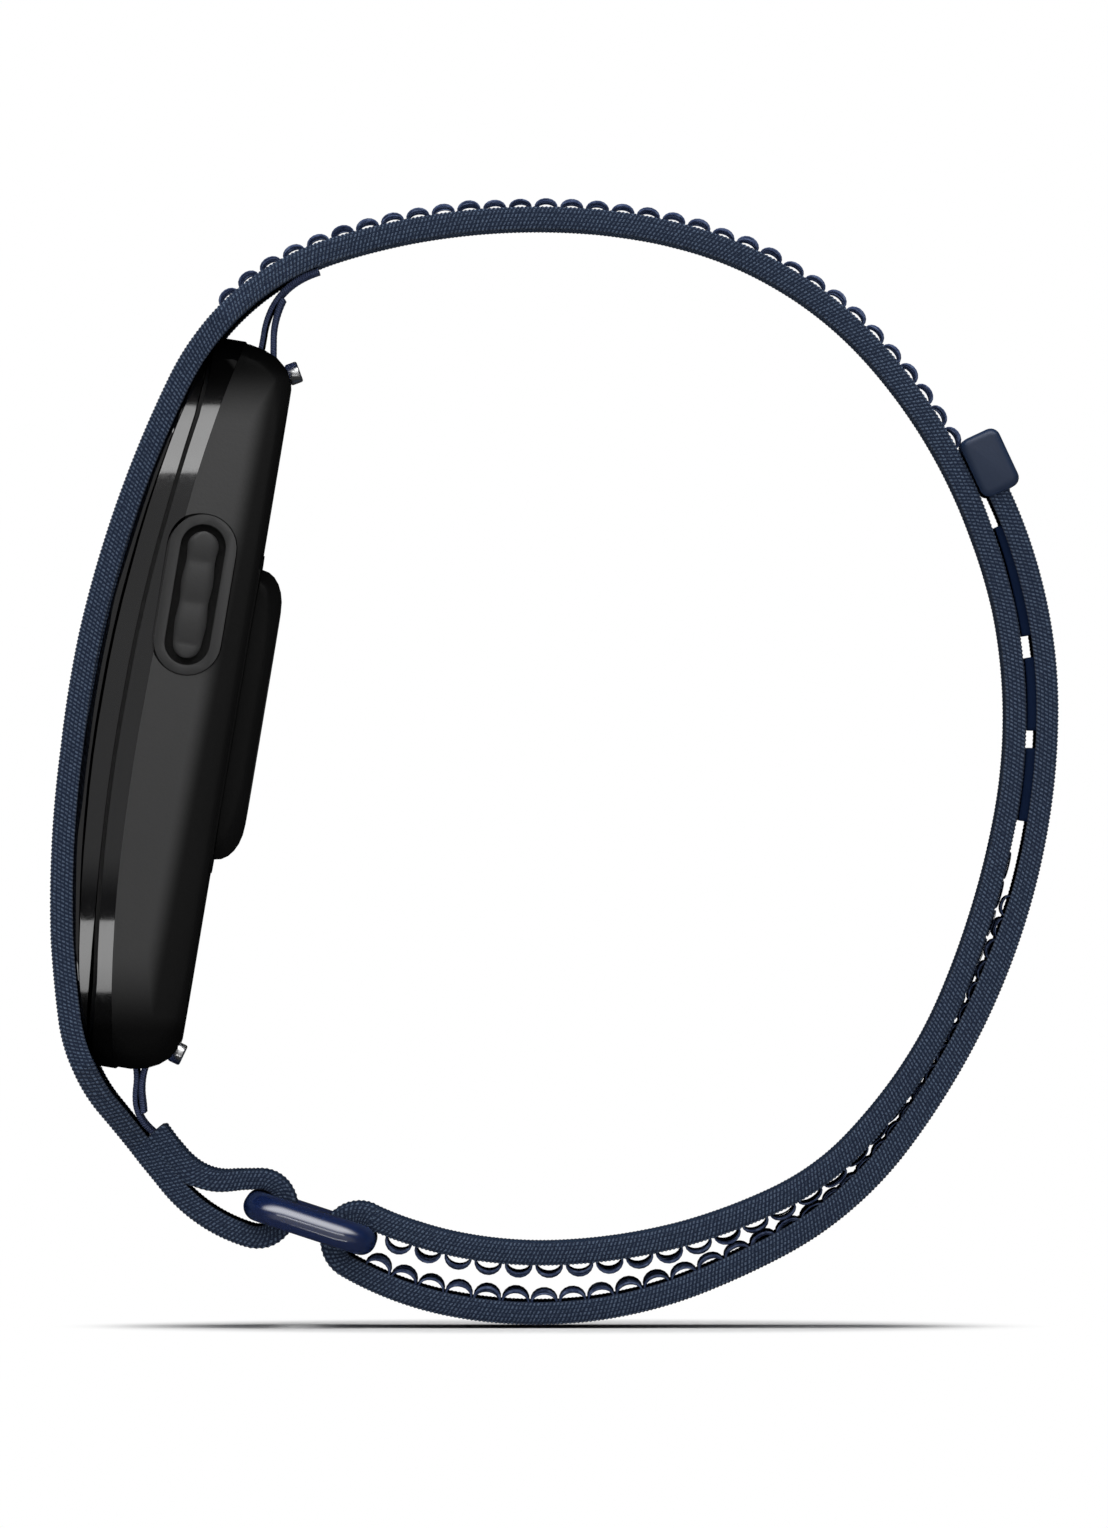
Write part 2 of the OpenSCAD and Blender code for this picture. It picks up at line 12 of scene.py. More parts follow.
import bmesh
import bpy
import numpy as np
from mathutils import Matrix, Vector

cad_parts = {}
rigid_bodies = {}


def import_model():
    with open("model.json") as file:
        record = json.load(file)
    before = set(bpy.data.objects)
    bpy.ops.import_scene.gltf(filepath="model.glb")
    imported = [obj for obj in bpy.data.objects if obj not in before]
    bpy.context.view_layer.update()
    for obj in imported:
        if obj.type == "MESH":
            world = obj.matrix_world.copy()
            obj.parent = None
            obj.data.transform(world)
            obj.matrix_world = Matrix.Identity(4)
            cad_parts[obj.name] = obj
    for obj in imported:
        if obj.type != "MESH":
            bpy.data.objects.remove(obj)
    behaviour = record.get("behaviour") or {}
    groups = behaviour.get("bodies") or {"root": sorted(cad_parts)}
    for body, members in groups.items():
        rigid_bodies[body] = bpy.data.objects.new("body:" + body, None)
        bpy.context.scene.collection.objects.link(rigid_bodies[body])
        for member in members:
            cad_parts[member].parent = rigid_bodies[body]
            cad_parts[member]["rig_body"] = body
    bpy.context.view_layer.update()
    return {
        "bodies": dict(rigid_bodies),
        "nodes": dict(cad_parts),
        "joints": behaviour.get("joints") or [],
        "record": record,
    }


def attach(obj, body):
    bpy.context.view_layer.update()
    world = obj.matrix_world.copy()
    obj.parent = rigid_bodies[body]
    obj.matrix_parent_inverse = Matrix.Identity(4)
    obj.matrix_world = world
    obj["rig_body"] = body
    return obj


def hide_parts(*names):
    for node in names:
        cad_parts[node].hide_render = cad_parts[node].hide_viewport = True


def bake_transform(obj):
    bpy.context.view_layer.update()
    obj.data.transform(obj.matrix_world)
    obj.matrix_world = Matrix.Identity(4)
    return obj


LOG = logging.getLogger("fitness_tracker_band")
MM = 0.001
Colour = tuple[float, float, float]
Table = Sequence[tuple[float, float]]
Corner = tuple[int, int]
Corner = tuple[int, int]


# ---- Routes that the soft parts follow ----
@dataclass(frozen=True)
class Route:
    """A chain of arcs in the XZ plane, in millimetres and degrees."""

    x: float
    z: float
    heading: float
    arcs: tuple[tuple[float, float], ...]

    @property
    def length(self) -> float:
        """Returns the route's whole length."""
        return sum(arc[0] for arc in self.arcs)

    def at(self, station: float) -> tuple[float, float, float]:
        """Finds one place on the route.

        Args:
            station: Distance from the start.

        Returns:
            x, z and the heading in radians.
        """
        x, z, heading, left = self.x, self.z, math.radians(self.heading), station
        for length, turn in (*self.arcs, (1e9, 0.0)):
            step = min(left, length)
            bend = math.radians(turn) * step / length
            if abs(bend) < 1e-7:
                x, z = x + step * math.cos(heading), z + step * math.sin(heading)
            else:
                radius = step / bend
                x += radius * (math.sin(heading + bend) - math.sin(heading))
                z += radius * (math.cos(heading) - math.cos(heading + bend))
            heading += bend
            left -= step
            if left <= 0:
                break
        return x, z, heading

    def rows(self, stations: Iterable[float]) -> np.ndarray:
        """Returns one x, z, heading row for each station."""
        return np.array([self.at(float(s)) for s in stations])


def beside(row: Sequence[float], offset: float) -> tuple[float, float]:
    """Returns the x and z of the point at an offset to the left of a row."""
    return row[0] - offset * math.sin(row[2]), row[1] + offset * math.cos(row[2])


def look_up(table: Table, values: np.ndarray) -> np.ndarray:
    """Returns a table's interpolated value at each of the values."""
    return np.interp(values, [t[0] for t in table], [t[1] for t in table])


# ---- The pod's own frame ----
@dataclass(frozen=True)
class PodFrame:
    """The pod's own frame, in millimetres: x towards the wrist, z along the case."""

    x: float = -22.77
    z: float = 38.53
    tilt: float = 9.5

    def to_scene(self, x: Any, z: Any) -> tuple[Any, Any]:
        """Returns the scene's x and z of a place in the pod's frame."""
        lean = math.radians(self.tilt)
        right = x * math.cos(lean) + z * math.sin(lean)
        return self.x + right, self.z + z * math.cos(lean) - x * math.sin(lean)

    def from_scene(self, x: Any, z: Any) -> tuple[Any, Any]:
        """Returns the place in the pod's frame of a scene x and z."""
        lean = math.radians(self.tilt)
        dx, dz = x - self.x, z - self.z
        return dx * math.cos(lean) - dz * math.sin(lean), dx * math.sin(lean) + dz * math.cos(lean)


POD = PodFrame()


# ---- The pod's own frame ----
@dataclass(frozen=True)
class PodFrame:
    """The pod's own frame, in millimetres: x towards the wrist, z along the case."""

    x: float = -22.77
    z: float = 38.53
    tilt: float = 9.5

    def to_scene(self, x: Any, z: Any) -> tuple[Any, Any]:
        """Returns the scene's x and z of a place in the pod's frame."""
        lean = math.radians(self.tilt)
        right = x * math.cos(lean) + z * math.sin(lean)
        return self.x + right, self.z + z * math.cos(lean) - x * math.sin(lean)

    def from_scene(self, x: Any, z: Any) -> tuple[Any, Any]:
        """Returns the place in the pod's frame of a scene x and z."""
        lean = math.radians(self.tilt)
        dx, dz = x - self.x, z - self.z
        return dx * math.cos(lean) - dz * math.sin(lean), dx * math.sin(lean) + dz * math.cos(lean)


POD = PodFrame()


# ---- Mesh helpers ----
class Face(Enum):
    """Which side of a band a face belongs to."""

    BROAD = 0.0
    EDGE = 1.0


def unit(vector: np.ndarray) -> np.ndarray:
    """Returns a vector at length one."""
    return vector / max(float(np.linalg.norm(vector)), 1e-9)


@dataclass
class Band:
    """A flat woven band that follows rows of stations, with a rounded rim and cut-outs.

    The low and high offsets are each row's two faces. The columns hold each row's places across
    the band, and the open cells between them are cut out.
    """

    name: str
    stations: np.ndarray
    rows: np.ndarray
    low: np.ndarray
    high: np.ndarray
    columns: np.ndarray
    open_cells: np.ndarray | None = None
    rim: float = 0.12
    relief: float = 0.03
    levels: tuple[float, ...] = (0.12, 0.34, 0.66, 0.88)
    points: list[np.ndarray] = field(init=False, default_factory=list)
    faces: list[tuple[int, ...]] = field(init=False, default_factory=list)
    maps: list[tuple[float, float]] = field(init=False, default_factory=list)
    sides: list[float] = field(init=False, default_factory=list)

    def __post_init__(self) -> None:
        """Closes every cell of a band that is given no cut-outs."""
        if self.open_cells is None:
            count, across = self.columns.shape
            self.open_cells = np.zeros((count - 1, across - 1), bool)

    def _surface(self, offsets: np.ndarray) -> np.ndarray:
        """Returns the grid of points at the rows' offsets, in millimetres."""
        count, across = self.columns.shape
        x = self.rows[:, 0] - offsets * np.sin(self.rows[:, 2])
        z = self.rows[:, 1] + offsets * np.cos(self.rows[:, 2])
        grid = np.zeros((count, across, 3))
        grid[:, :, 0], grid[:, :, 1], grid[:, :, 2] = x[:, None], self.columns, z[:, None]
        return grid

    def _cover(self) -> list[tuple[Corner, Corner]]:
        """Adds the faces of both broad sides and returns the edges along every border."""
        count, across = self.columns.shape
        base = self.columns.size
        kept = ~self.open_cells
        borders: list[tuple[Corner, Corner]] = []
        for i, j in np.argwhere(kept).tolist():
            ring = [(i, j), (i + 1, j), (i + 1, j + 1), (i, j + 1)]
            self.faces.append(tuple(a * across + b for a, b in ring))
            self.faces.append(tuple(base + a * across + b for a, b in reversed(ring)))
            for cells in (ring, ring[::-1]):
                self.maps += [(self.stations[a], self.columns[a, b]) for a, b in cells]
                self.sides.append(Face.BROAD.value)
            for k, (a, b) in enumerate([(i, j - 1), (i + 1, j), (i, j + 1), (i - 1, j)]):
                inside = 0 <= a < count - 1 and 0 <= b < across - 1
                if not (inside and kept[a, b]):
                    borders.append((ring[k], ring[(k + 1) % 4]))
        return borders

    def _outward(self, borders: list[tuple[Corner, Corner]], top: np.ndarray) -> dict[Corner, np.ndarray]:
        """Returns the direction out of the band at every border corner."""
        out: dict[Corner, np.ndarray] = {}
        for a, b in borders:
            heading = self.rows[a[0], 2]
            normal = np.array([-math.sin(heading), 0.0, math.cos(heading)])
            push = unit(np.cross(top[b] - top[a], normal))
            for corner in (a, b):
                out[corner] = out.get(corner, np.zeros(3)) + push
        return {corner: unit(push) for corner, push in out.items()}

    def _chains(
        self, outward: dict[Corner, np.ndarray], top: np.ndarray, bottom: np.ndarray
    ) -> dict[Corner, list[int]]:
        """Adds the rounded rim's points and returns the chain of points at every border corner."""
        across = self.columns.shape[1]
        chains: dict[Corner, list[int]] = {}
        for (i, j), push in outward.items():
            chain = [i * across + j]
            for level in self.levels:
                swell = math.sqrt(max(0.0, 1 - (2 * level - 1) ** 2)) ** 0.5
                swell *= self.rim * (1 + 0.25 * (1 if i % 2 else -1))
                chain.append(len(self.points))
                self.points.append(top[i, j] * (1 - level) + bottom[i, j] * level + push * swell)
            chain.append(self.columns.size + i * across + j)
            chains[i, j] = chain
        return chains

    def _close(self, borders: list[tuple[Corner, Corner]], chains: dict[Corner, list[int]]) -> None:
        """Adds the rim's faces between the two chains of every border edge."""
        depth = (0.0, *self.levels, 1.0)
        for a, b in borders:
            thick = self.high[a[0]] - self.low[a[0]]
            start, end = self.stations[a[0]], self.stations[b[0]]
            if abs(start - end) < 1e-6:
                start, end = self.columns[a], self.columns[b]
            for k in range(len(depth) - 1):
                self.faces.append((chains[b][k], chains[a][k], chains[a][k + 1], chains[b][k + 1]))
                upper, lower = depth[k] * thick, depth[k + 1] * thick
                self.maps += [(end, upper), (start, upper), (start, lower), (end, lower)]
                self.sides.append(Face.EDGE.value)

    def build(self) -> bpy.types.Object:
        """Makes the closed mesh, with a UV map in millimetres and an edge attribute."""
        ridge = self.relief * np.where(np.arange(len(self.stations)) % 2 == 0, 1.0, -1.0)
        top = self._surface(self.high + ridge * 0.6)
        bottom = self._surface(self.low - ridge)
        self.points = [*top.reshape(-1, 3), *bottom.reshape(-1, 3)]
        borders = self._cover()
        self._close(borders, self._chains(self._outward(borders, top), top, bottom))
        mesh = bpy.data.meshes.new(self.name)
        mesh.from_pydata([tuple(float(c) * MM for c in p) for p in self.points], [], self.faces)
        uv = mesh.uv_layers.new(name="weave")
        uv.data.foreach_set("uv", np.array(self.maps, np.float32).ravel())
        edge = mesh.attributes.new("edge", "FLOAT", "FACE")
        edge.data.foreach_set("value", np.array(self.sides, np.float32))
        drop_loose(mesh)
        return add_object(self.name, mesh)


def drop_loose(mesh: bpy.types.Mesh) -> None:
    """Deletes vertices that no face uses."""
    work = bmesh.new()
    work.from_mesh(mesh)
    bmesh.ops.delete(work, geom=[v for v in work.verts if not v.link_faces], context="VERTS")
    work.to_mesh(mesh)
    work.free()


def add_object(name: str, mesh: bpy.types.Mesh) -> bpy.types.Object:
    """Links a mesh as an object at the origin and shades it smooth.

    Args:
        name: The piece's name.
        mesh: Its mesh, in metres.

    Returns:
        The new object.
    """
    piece = bpy.data.objects.new(name, mesh)
    bpy.context.scene.collection.objects.link(piece)
    mesh.polygons.foreach_set("use_smooth", [True] * len(mesh.polygons))
    return piece


def sharpen(mesh: bpy.types.Mesh, angle: float) -> None:
    """Marks edges sharper than an angle in degrees, so that broad faces stay flat."""
    mesh.set_sharp_from_angle(angle=math.radians(angle))


def bake_modifiers(piece: bpy.types.Object) -> None:
    """Turns an object's modifiers into its mesh and removes them."""
    graph = bpy.context.evaluated_depsgraph_get()
    done = bpy.data.meshes.new_from_object(piece.evaluated_get(graph))
    piece.modifiers.clear()
    piece.data = done


def join_parts(name: str, parts: Sequence[bpy.types.Object]) -> bpy.types.Object:
    """Makes one piece of several and removes them.

    Args:
        name: Name of the joined piece.
        parts: The objects to join, all in place.

    Returns:
        The joined piece.
    """
    work = bmesh.new()
    for part in parts:
        work.from_mesh(part.data)
        bpy.data.objects.remove(part)
    mesh = bpy.data.meshes.new(name)
    work.to_mesh(mesh)
    work.free()
    return add_object(name, mesh)


def paint(piece: bpy.types.Object, material: bpy.types.Material) -> None:
    """Gives a piece one material."""
    piece.data.materials.clear()
    piece.data.materials.append(material)


def soften(node: bpy.types.Object, name: str, width: float, angle: float = 32.0) -> bpy.types.Object:
    """Copies a solid with its doubles merged and its edges rounded.

    Args:
        node: The solid's object.
        name: Name of the new piece.
        width: Width of the rounded edge, in millimetres.
        angle: Edges sharper than this many degrees are rounded.

    Returns:
        The new piece.
    """
    mesh = node.data.copy()
    work = bmesh.new()
    work.from_mesh(mesh)
    bmesh.ops.remove_doubles(work, verts=work.verts, dist=2e-6)
    bmesh.ops.dissolve_degenerate(work, edges=work.edges, dist=2e-6)
    bmesh.ops.dissolve_limit(
        work, angle_limit=math.radians(1.0), verts=work.verts, edges=work.edges, use_dissolve_boundaries=False
    )
    work.to_mesh(mesh)
    work.free()
    piece = add_object(name, mesh)
    if width > 0:
        bevel = piece.modifiers.new("rounded edges", "BEVEL")
        bevel.width = width * MM
        bevel.segments = 2
        bevel.limit_method = "ANGLE"
        bevel.angle_limit = math.radians(angle)
        bevel.use_clamp_overlap = True
        bevel.harden_normals = True
        bake_modifiers(piece)
    piece.data.polygons.foreach_set("use_smooth", [True] * len(piece.data.polygons))
    sharpen(piece.data, angle + 6)
    return piece


# ---- Shader wiring ----
class Wiring:
    """Short calls for building a node tree."""

    def __init__(self, tree: bpy.types.NodeTree) -> None:
        """Keeps the tree."""
        self.tree = tree

    def feed(self, node: bpy.types.Node, inputs: dict[Any, Any]) -> None:
        """Links each input that is given another node's output, and sets the others."""
        for key, value in inputs.items():
            if isinstance(value, bpy.types.NodeSocket):
                self.tree.links.new(value, node.inputs[key])
            else:
                node.inputs[key].default_value = value

    def add(self, kind: str, inputs: dict[Any, Any] | None = None, **settings: Any) -> bpy.types.Node:
        """Adds a node.

        Args:
            kind: The node's type name.
            inputs: Input socket to a value or to another node's output.
            **settings: The node's own properties.

        Returns:
            The node.
        """
        node = self.tree.nodes.new(kind)
        for key, value in settings.items():
            setattr(node, key, value)
        self.feed(node, inputs or {})
        return node

    def group(self, tree: bpy.types.NodeTree, **inputs: Any) -> bpy.types.bpy_prop_collection:
        """Returns the outputs of a node group that is placed with its own values."""
        return self.add("ShaderNodeGroup", inputs, node_tree=tree).outputs

    def math(self, operation: str, *values: Any, clamp: bool = False) -> bpy.types.NodeSocket:
        """Returns the output of a Math node over the given values."""
        inputs = dict(enumerate(values))
        return self.add("ShaderNodeMath", inputs, operation=operation, use_clamp=clamp).outputs[0]

    def vector(self, operation: str, *values: Any) -> bpy.types.NodeSocket:
        """Returns the output of a Vector Math node over the given values."""
        return self.add("ShaderNodeVectorMath", dict(enumerate(values)), operation=operation).outputs[0]

    def split(self, vector: bpy.types.NodeSocket) -> bpy.types.bpy_prop_collection:
        """Returns a vector's three parts."""
        return self.add("ShaderNodeSeparateXYZ", {0: vector}).outputs

    def mix(self, factor: Any, first: Any, second: Any) -> bpy.types.NodeSocket:
        """Returns a mix of two colours."""
        node = self.add("ShaderNodeMix", data_type="RGBA")
        pair = [(*value, 1.0) if isinstance(value, tuple) else value for value in (first, second)]
        self.feed(node, {0: factor, 6: pair[0], 7: pair[1]})
        return node.outputs[2]

    def blend(self, factor: Any, first: Any, second: Any) -> bpy.types.NodeSocket:
        """Returns a mix of two values."""
        return self.add("ShaderNodeMix", {0: factor, 2: first, 3: second}, data_type="FLOAT").outputs[0]

    def span(
        self, value: Any, low: float, high: float, to_low: float = 0.0, to_high: float = 1.0
    ) -> bpy.types.NodeSocket:
        """Returns a value moved smoothly from one range to another."""
        ends = {0: value, 1: low, 2: high, 3: to_low, 4: to_high}
        return self.add("ShaderNodeMapRange", ends, interpolation_type="SMOOTHSTEP").outputs[0]

    def noise(self, place: Any, scale: Any, detail: float = 2.0) -> bpy.types.NodeSocket:
        """Returns a noise value."""
        return self.add("ShaderNodeTexNoise", {"Vector": place, "Scale": scale, "Detail": detail}).outputs[0]

    def bump(self, height: Any, depth: float, strength: float) -> bpy.types.Node:
        """Adds a Bump node for a height and a depth in millimetres."""
        return self.add("ShaderNodeBump", {"Height": height, "Distance": depth * MM, "Strength": strength})


def new_group(
    name: str,
    inputs: dict[str, float | None],
    outputs: Sequence[str],
    fill: Callable[[Wiring, Any, Any], None],
) -> bpy.types.NodeTree:
    """Builds a shader node group once.

    Args:
        name: The group's name.
        inputs: Input names with their defaults; None marks a vector.
        outputs: Names of the value outputs; a name that ends in Normal is a vector.
        fill: Wires the group between its inputs and its end node.

    Returns:
        The group.
    """
    tree = bpy.data.node_groups.new(name, "ShaderNodeTree")
    for key, value in inputs.items():
        kind = "NodeSocketVector" if value is None else "NodeSocketFloat"
        socket = tree.interface.new_socket(key, in_out="INPUT", socket_type=kind)
        if value is not None:
            socket.default_value = value
    for key in outputs:
        kind = "NodeSocketVector" if key.endswith("Normal") else "NodeSocketFloat"
        tree.interface.new_socket(key, in_out="OUTPUT", socket_type=kind)
    wires = Wiring(tree)
    fill(wires, wires.add("NodeGroupInput").outputs, wires.add("NodeGroupOutput"))
    return tree


@dataclass(frozen=True)
class CasePaintedShade:
    """Where painted shade darkens the case's side towards its ends and back edge, in metres from the pod's
    middle.
    """

    top: tuple[float, float] = (0.0175, 0.0213)
    foot: tuple[float, float] = (-0.0205, -0.015)
    back: tuple[float, float] = (0.0002, 0.0016)
    back_lean: float = -0.194
    back_share: float = 0.9
    glossy_half: tuple[float, float] = (0.0192, 0.0202)
    # The near-black colour of the painted shade at the ends and back edge, and how far the colour goes to it.
    tint: Colour = (0.0015, 0.0015, 0.0015)
    painted_shade_share: float = 0.93
    dulling: float = -0.9


CASE_PAINTED_SHADE = CasePaintedShade()


class Effects:
    """Shader node groups that several finishes share."""

    YARN_WIDTH = (0.10, 0.36)
    YARN_ENDS = (0.24, 0.48)
    YARN_LIGHT = (0.3, 0.66, 0.3, 1.15)
    RUB_EDGE = (0.4, 0.75)
    WALL_FACING = (0.45, 0.7)

    def __init__(self) -> None:
        """Builds every group once."""
        grain = {"Place": None, "Scale": 4000.0, "Spread": 0.1}
        weave = {"Place": None, "Along": 0.25, "Slant": 0.4, "Cross": 0.25, "Wander": 0.12}
        rub = {"Place": None, "Scale": 60.0, "Amount": 0.5}
        barrel = {"Place": None, "Bend": 11.0}
        self.grain = new_group("Fine grain", grain, ("Height", "Rough"), self._grain)
        self.weave = new_group("Twill weave", weave, ("Height", "Light"), self._weave)
        self.rub = new_group("Handling rub", rub, ("Mask",), self._rub)
        self.barrel = new_group("Barrel side", barrel, ("Barrel Normal", "Side", "Painted Shade"), self._barrel)

    @staticmethod
    def _grain(wires: Wiring, start: Any, end: Any) -> None:
        """Two octaves of fine noise, as a height and a roughness change."""
        fine = wires.noise(start["Place"], start["Scale"])
        wide = wires.noise(start["Place"], wires.math("MULTIPLY", start["Scale"], 0.17))
        height = wires.math("MULTIPLY_ADD", wide, 0.4, fine)
        centred = wires.math("SUBTRACT", height, 0.7)
        wires.feed(end, {"Height": height, "Rough": wires.math("MULTIPLY", centred, start["Spread"])})

    @staticmethod
    def _weave(wires: Wiring, start: Any, end: Any) -> None:
        """Rows of short slanted floats, every other row set over, on a map in millimetres; the light mask
        lights the floats and leaves the gaps between them dark, as painted highlight and shade varied at
        random.
        """
        wander = wires.math("SUBTRACT", wires.noise(start["Place"], 2.2, 3.0), 0.5)
        drift = wires.math("MULTIPLY", wander, start["Wander"])
        parts = wires.split(start["Place"])
        level = wires.math("DIVIDE", wires.math("ADD", parts[1], drift), start["Cross"])
        row = wires.math("FLOOR", level)
        climb = wires.math("SUBTRACT", wires.math("SUBTRACT", level, row), 0.5)
        shift = wires.math("MULTIPLY", row, 0.5)
        along = wires.math("DIVIDE", wires.math("ADD", parts[0], drift), start["Along"])
        turn = wires.math("ADD", wires.math("MULTIPLY_ADD", climb, start["Slant"], along), shift)
        across = wires.math("ABSOLUTE", wires.math("SUBTRACT", wires.math("FRACT", turn), 0.5))
        body = wires.span(across, *Effects.YARN_WIDTH, 1.0, 0.0)
        tips = wires.span(wires.math("ABSOLUTE", climb), *Effects.YARN_ENDS, 1.0, 0.0)
        float_yarn = wires.math("MULTIPLY", body, tips)
        speck = wires.span(wires.noise(start["Place"], 4.0), *Effects.YARN_LIGHT)
        wires.feed(end, {"Height": float_yarn, "Light": wires.math("MULTIPLY", float_yarn, speck)})

    @staticmethod
    def _rub(wires: Wiring, start: Any, end: Any) -> None:
        """Broad soft patches where a part has been handled."""
        patches = wires.span(wires.noise(start["Place"], start["Scale"], 4.0), *Effects.RUB_EDGE)
        wires.feed(end, {"Mask": wires.math("MULTIPLY", patches, start["Amount"])})

    @staticmethod
    def _barrel(wires: Wiring, start: Any, end: Any) -> None:
        """A side wall's slight crown as a turned normal, and masks for the walls and for the painted shade on
        their ends and back edge.
        """
        face = wires.add("ShaderNodeNewGeometry").outputs["Normal"]
        parts = wires.split(face)
        wall = wires.span(wires.math("ABSOLUTE", parts[1]), *Effects.WALL_FACING)
        place = wires.split(start["Place"])
        lean = wires.math("MULTIPLY", place[2], start["Bend"])
        flat = wires.math("MULTIPLY", parts[0], 0.15)
        crown = wires.add("ShaderNodeCombineXYZ", {0: flat, 1: wires.math("SIGN", parts[1]), 2: lean})
        turned = wires.add("ShaderNodeMix", {0: wall, 4: face, 5: crown.outputs[0]}, data_type="VECTOR")
        # Painted shade mask: rises towards the top and foot of the case and towards its back edge.
        top = wires.span(place[2], *CASE_PAINTED_SHADE.top)
        foot = wires.span(place[2], *CASE_PAINTED_SHADE.foot, 1.0, 0.0)
        slope = wires.math("MULTIPLY_ADD", place[2], CASE_PAINTED_SHADE.back_lean, place[0])
        back = wires.span(slope, *CASE_PAINTED_SHADE.back, 0.0, CASE_PAINTED_SHADE.back_share)
        wires.feed(end, {
            "Barrel Normal": wires.vector("NORMALIZE", turned.outputs[1]),
            "Side": wall,
            "Painted Shade": wires.math("MAXIMUM", wires.math("MAXIMUM", top, foot), back),
        })


def start_material(name: str) -> tuple[bpy.types.Material, Wiring, bpy.types.Node, bpy.types.NodeSocket]:
    """Starts a material.

    Args:
        name: The finish's name.

    Returns:
        The material, its wiring, its Principled BSDF and its Object coordinate.
    """
    material = bpy.data.materials.new(name)
    material.use_nodes = True
    wires = Wiring(material.node_tree)
    shader = material.node_tree.nodes["Principled BSDF"]
    return material, wires, shader, wires.add("ShaderNodeTexCoord").outputs["Object"]


# ---- Finishes ----
@dataclass(frozen=True)
class PlasticFinish:
    """Moulded plastic or rubber: fine spark-eroded grain, or gloss with a clear coat.

    A bend gives the side walls a slight crown and paints shade on their ends and back edge, and a lift tips
    every normal upwards.
    """

    name: str
    colour: Colour
    lighter: Colour
    roughness: float
    grain: float = 5000.0
    depth: float = 0.25
    coat: float = 0.0
    bend: float = 0.0
    specular: float = 0.5
    coat_ior: float = 1.5
    coat_roughness: float = 0.03
    lift: float = 0.0

    def make(self, effects: Effects) -> bpy.types.Material:
        """Builds the material."""
        material, wires, shader, place = start_material(self.name)
        grain = wires.group(effects.grain, Place=place, Scale=self.grain, Spread=0.12)
        rub = wires.group(effects.rub, Place=place, Scale=90.0, Amount=0.6)["Mask"]
        bump = wires.bump(grain["Height"], 0.02, self.depth)
        worn = wires.math("MULTIPLY_ADD", rub, -0.08, self.roughness)
        wires.feed(shader, {
            "Base Color": wires.mix(rub, self.colour, self.lighter),
            "Roughness": wires.math("ADD", worn, grain["Rough"], clamp=True),
            "Normal": bump.outputs[0],
            "Specular IOR Level": self.specular,
            "Coat Weight": self.coat,
            "Coat Roughness": self.coat_roughness,
            "Coat IOR": self.coat_ior,
        })
        if self.bend:
            centre = wires.vector("ADD", place, (-POD.x * MM, 0.0, -POD.z * MM))
            barrel = wires.group(effects.barrel, Place=centre, Bend=self.bend)
            self.crown_walls(wires, barrel, shader, bump, centre)
        if self.lift:
            face = wires.add("ShaderNodeNewGeometry").outputs["Normal"]
            tipped = wires.vector("NORMALIZE", wires.vector("ADD", face, (0.0, 0.0, self.lift)))
            wires.feed(bump, {"Normal": tipped})
            wires.feed(shader, {"Coat Normal": tipped})
        return material

    def crown_walls(
        self,
        wires: Wiring,
        barrel: Any,
        shader: bpy.types.Node,
        bump: bpy.types.Node,
        centre: bpy.types.NodeSocket,
    ) -> None:
        """Crowns the side walls and paints shade on their ends and back edge.

        Args:
            wires: The material's wiring.
            barrel: Outputs of the barrel group.
            shader: The Principled BSDF.
            bump: The grain's Bump node.
            centre: Place measured from the pod's middle.
        """
        # Painted shade: the base colour is mixed towards a near-black colour at the wall ends and back edge.
        tint = shader.inputs["Base Color"].links[0].from_socket
        dulled = wires.math("MULTIPLY_ADD", barrel["Painted Shade"], CASE_PAINTED_SHADE.dulling, 1.0)
        shine = wires.math("MULTIPLY", barrel["Side"], dulled)
        painted_shade_amount = wires.math("MULTIPLY", barrel["Painted Shade"], CASE_PAINTED_SHADE.painted_shade_share)
        wires.feed(bump, {"Normal": barrel["Barrel Normal"]})
        wires.feed(shader, {
            "Coat Normal": barrel["Barrel Normal"],
            "Base Color": wires.mix(painted_shade_amount, tint, CASE_PAINTED_SHADE.tint),
            "Specular IOR Level": wires.math("MULTIPLY", shine, self.specular),
        })
        if self.coat:
            height = wires.math("ABSOLUTE", wires.split(centre)[2])
            inner = wires.span(height, *CASE_PAINTED_SHADE.glossy_half, self.coat, 0.0)
            wires.feed(shader, {"Coat Weight": wires.math("MULTIPLY", barrel["Side"], inner)})


@dataclass(frozen=True)
class MetalFinish:
    """Turned, stamped or plated metal with fine drawn lines."""

    name: str
    colour: Colour
    roughness: float
    stretch: tuple[float, float, float] = (1.0, 0.05, 1.0)

    def make(self, effects: Effects) -> bpy.types.Material:
        """Builds the material."""
        material, wires, shader, place = start_material(self.name)
        lines = wires.add("ShaderNodeMapping", {0: place, 3: self.stretch}).outputs[0]
        grain = wires.group(effects.grain, Place=lines, Scale=9000.0, Spread=0.25)
        rub = wires.group(effects.rub, Place=place, Scale=400.0, Amount=0.5)["Mask"]
        worn = wires.math("MULTIPLY_ADD", rub, 0.08, self.roughness)
        wires.feed(shader, {
            "Base Color": wires.mix(rub, self.colour, tuple(c * 0.72 for c in self.colour)),
            "Roughness": wires.math("ADD", worn, grain["Rough"], clamp=True),
            "Normal": wires.bump(grain["Height"], 0.01, 0.2).outputs[0],
            "Metallic": 1.0,
        })
        return material


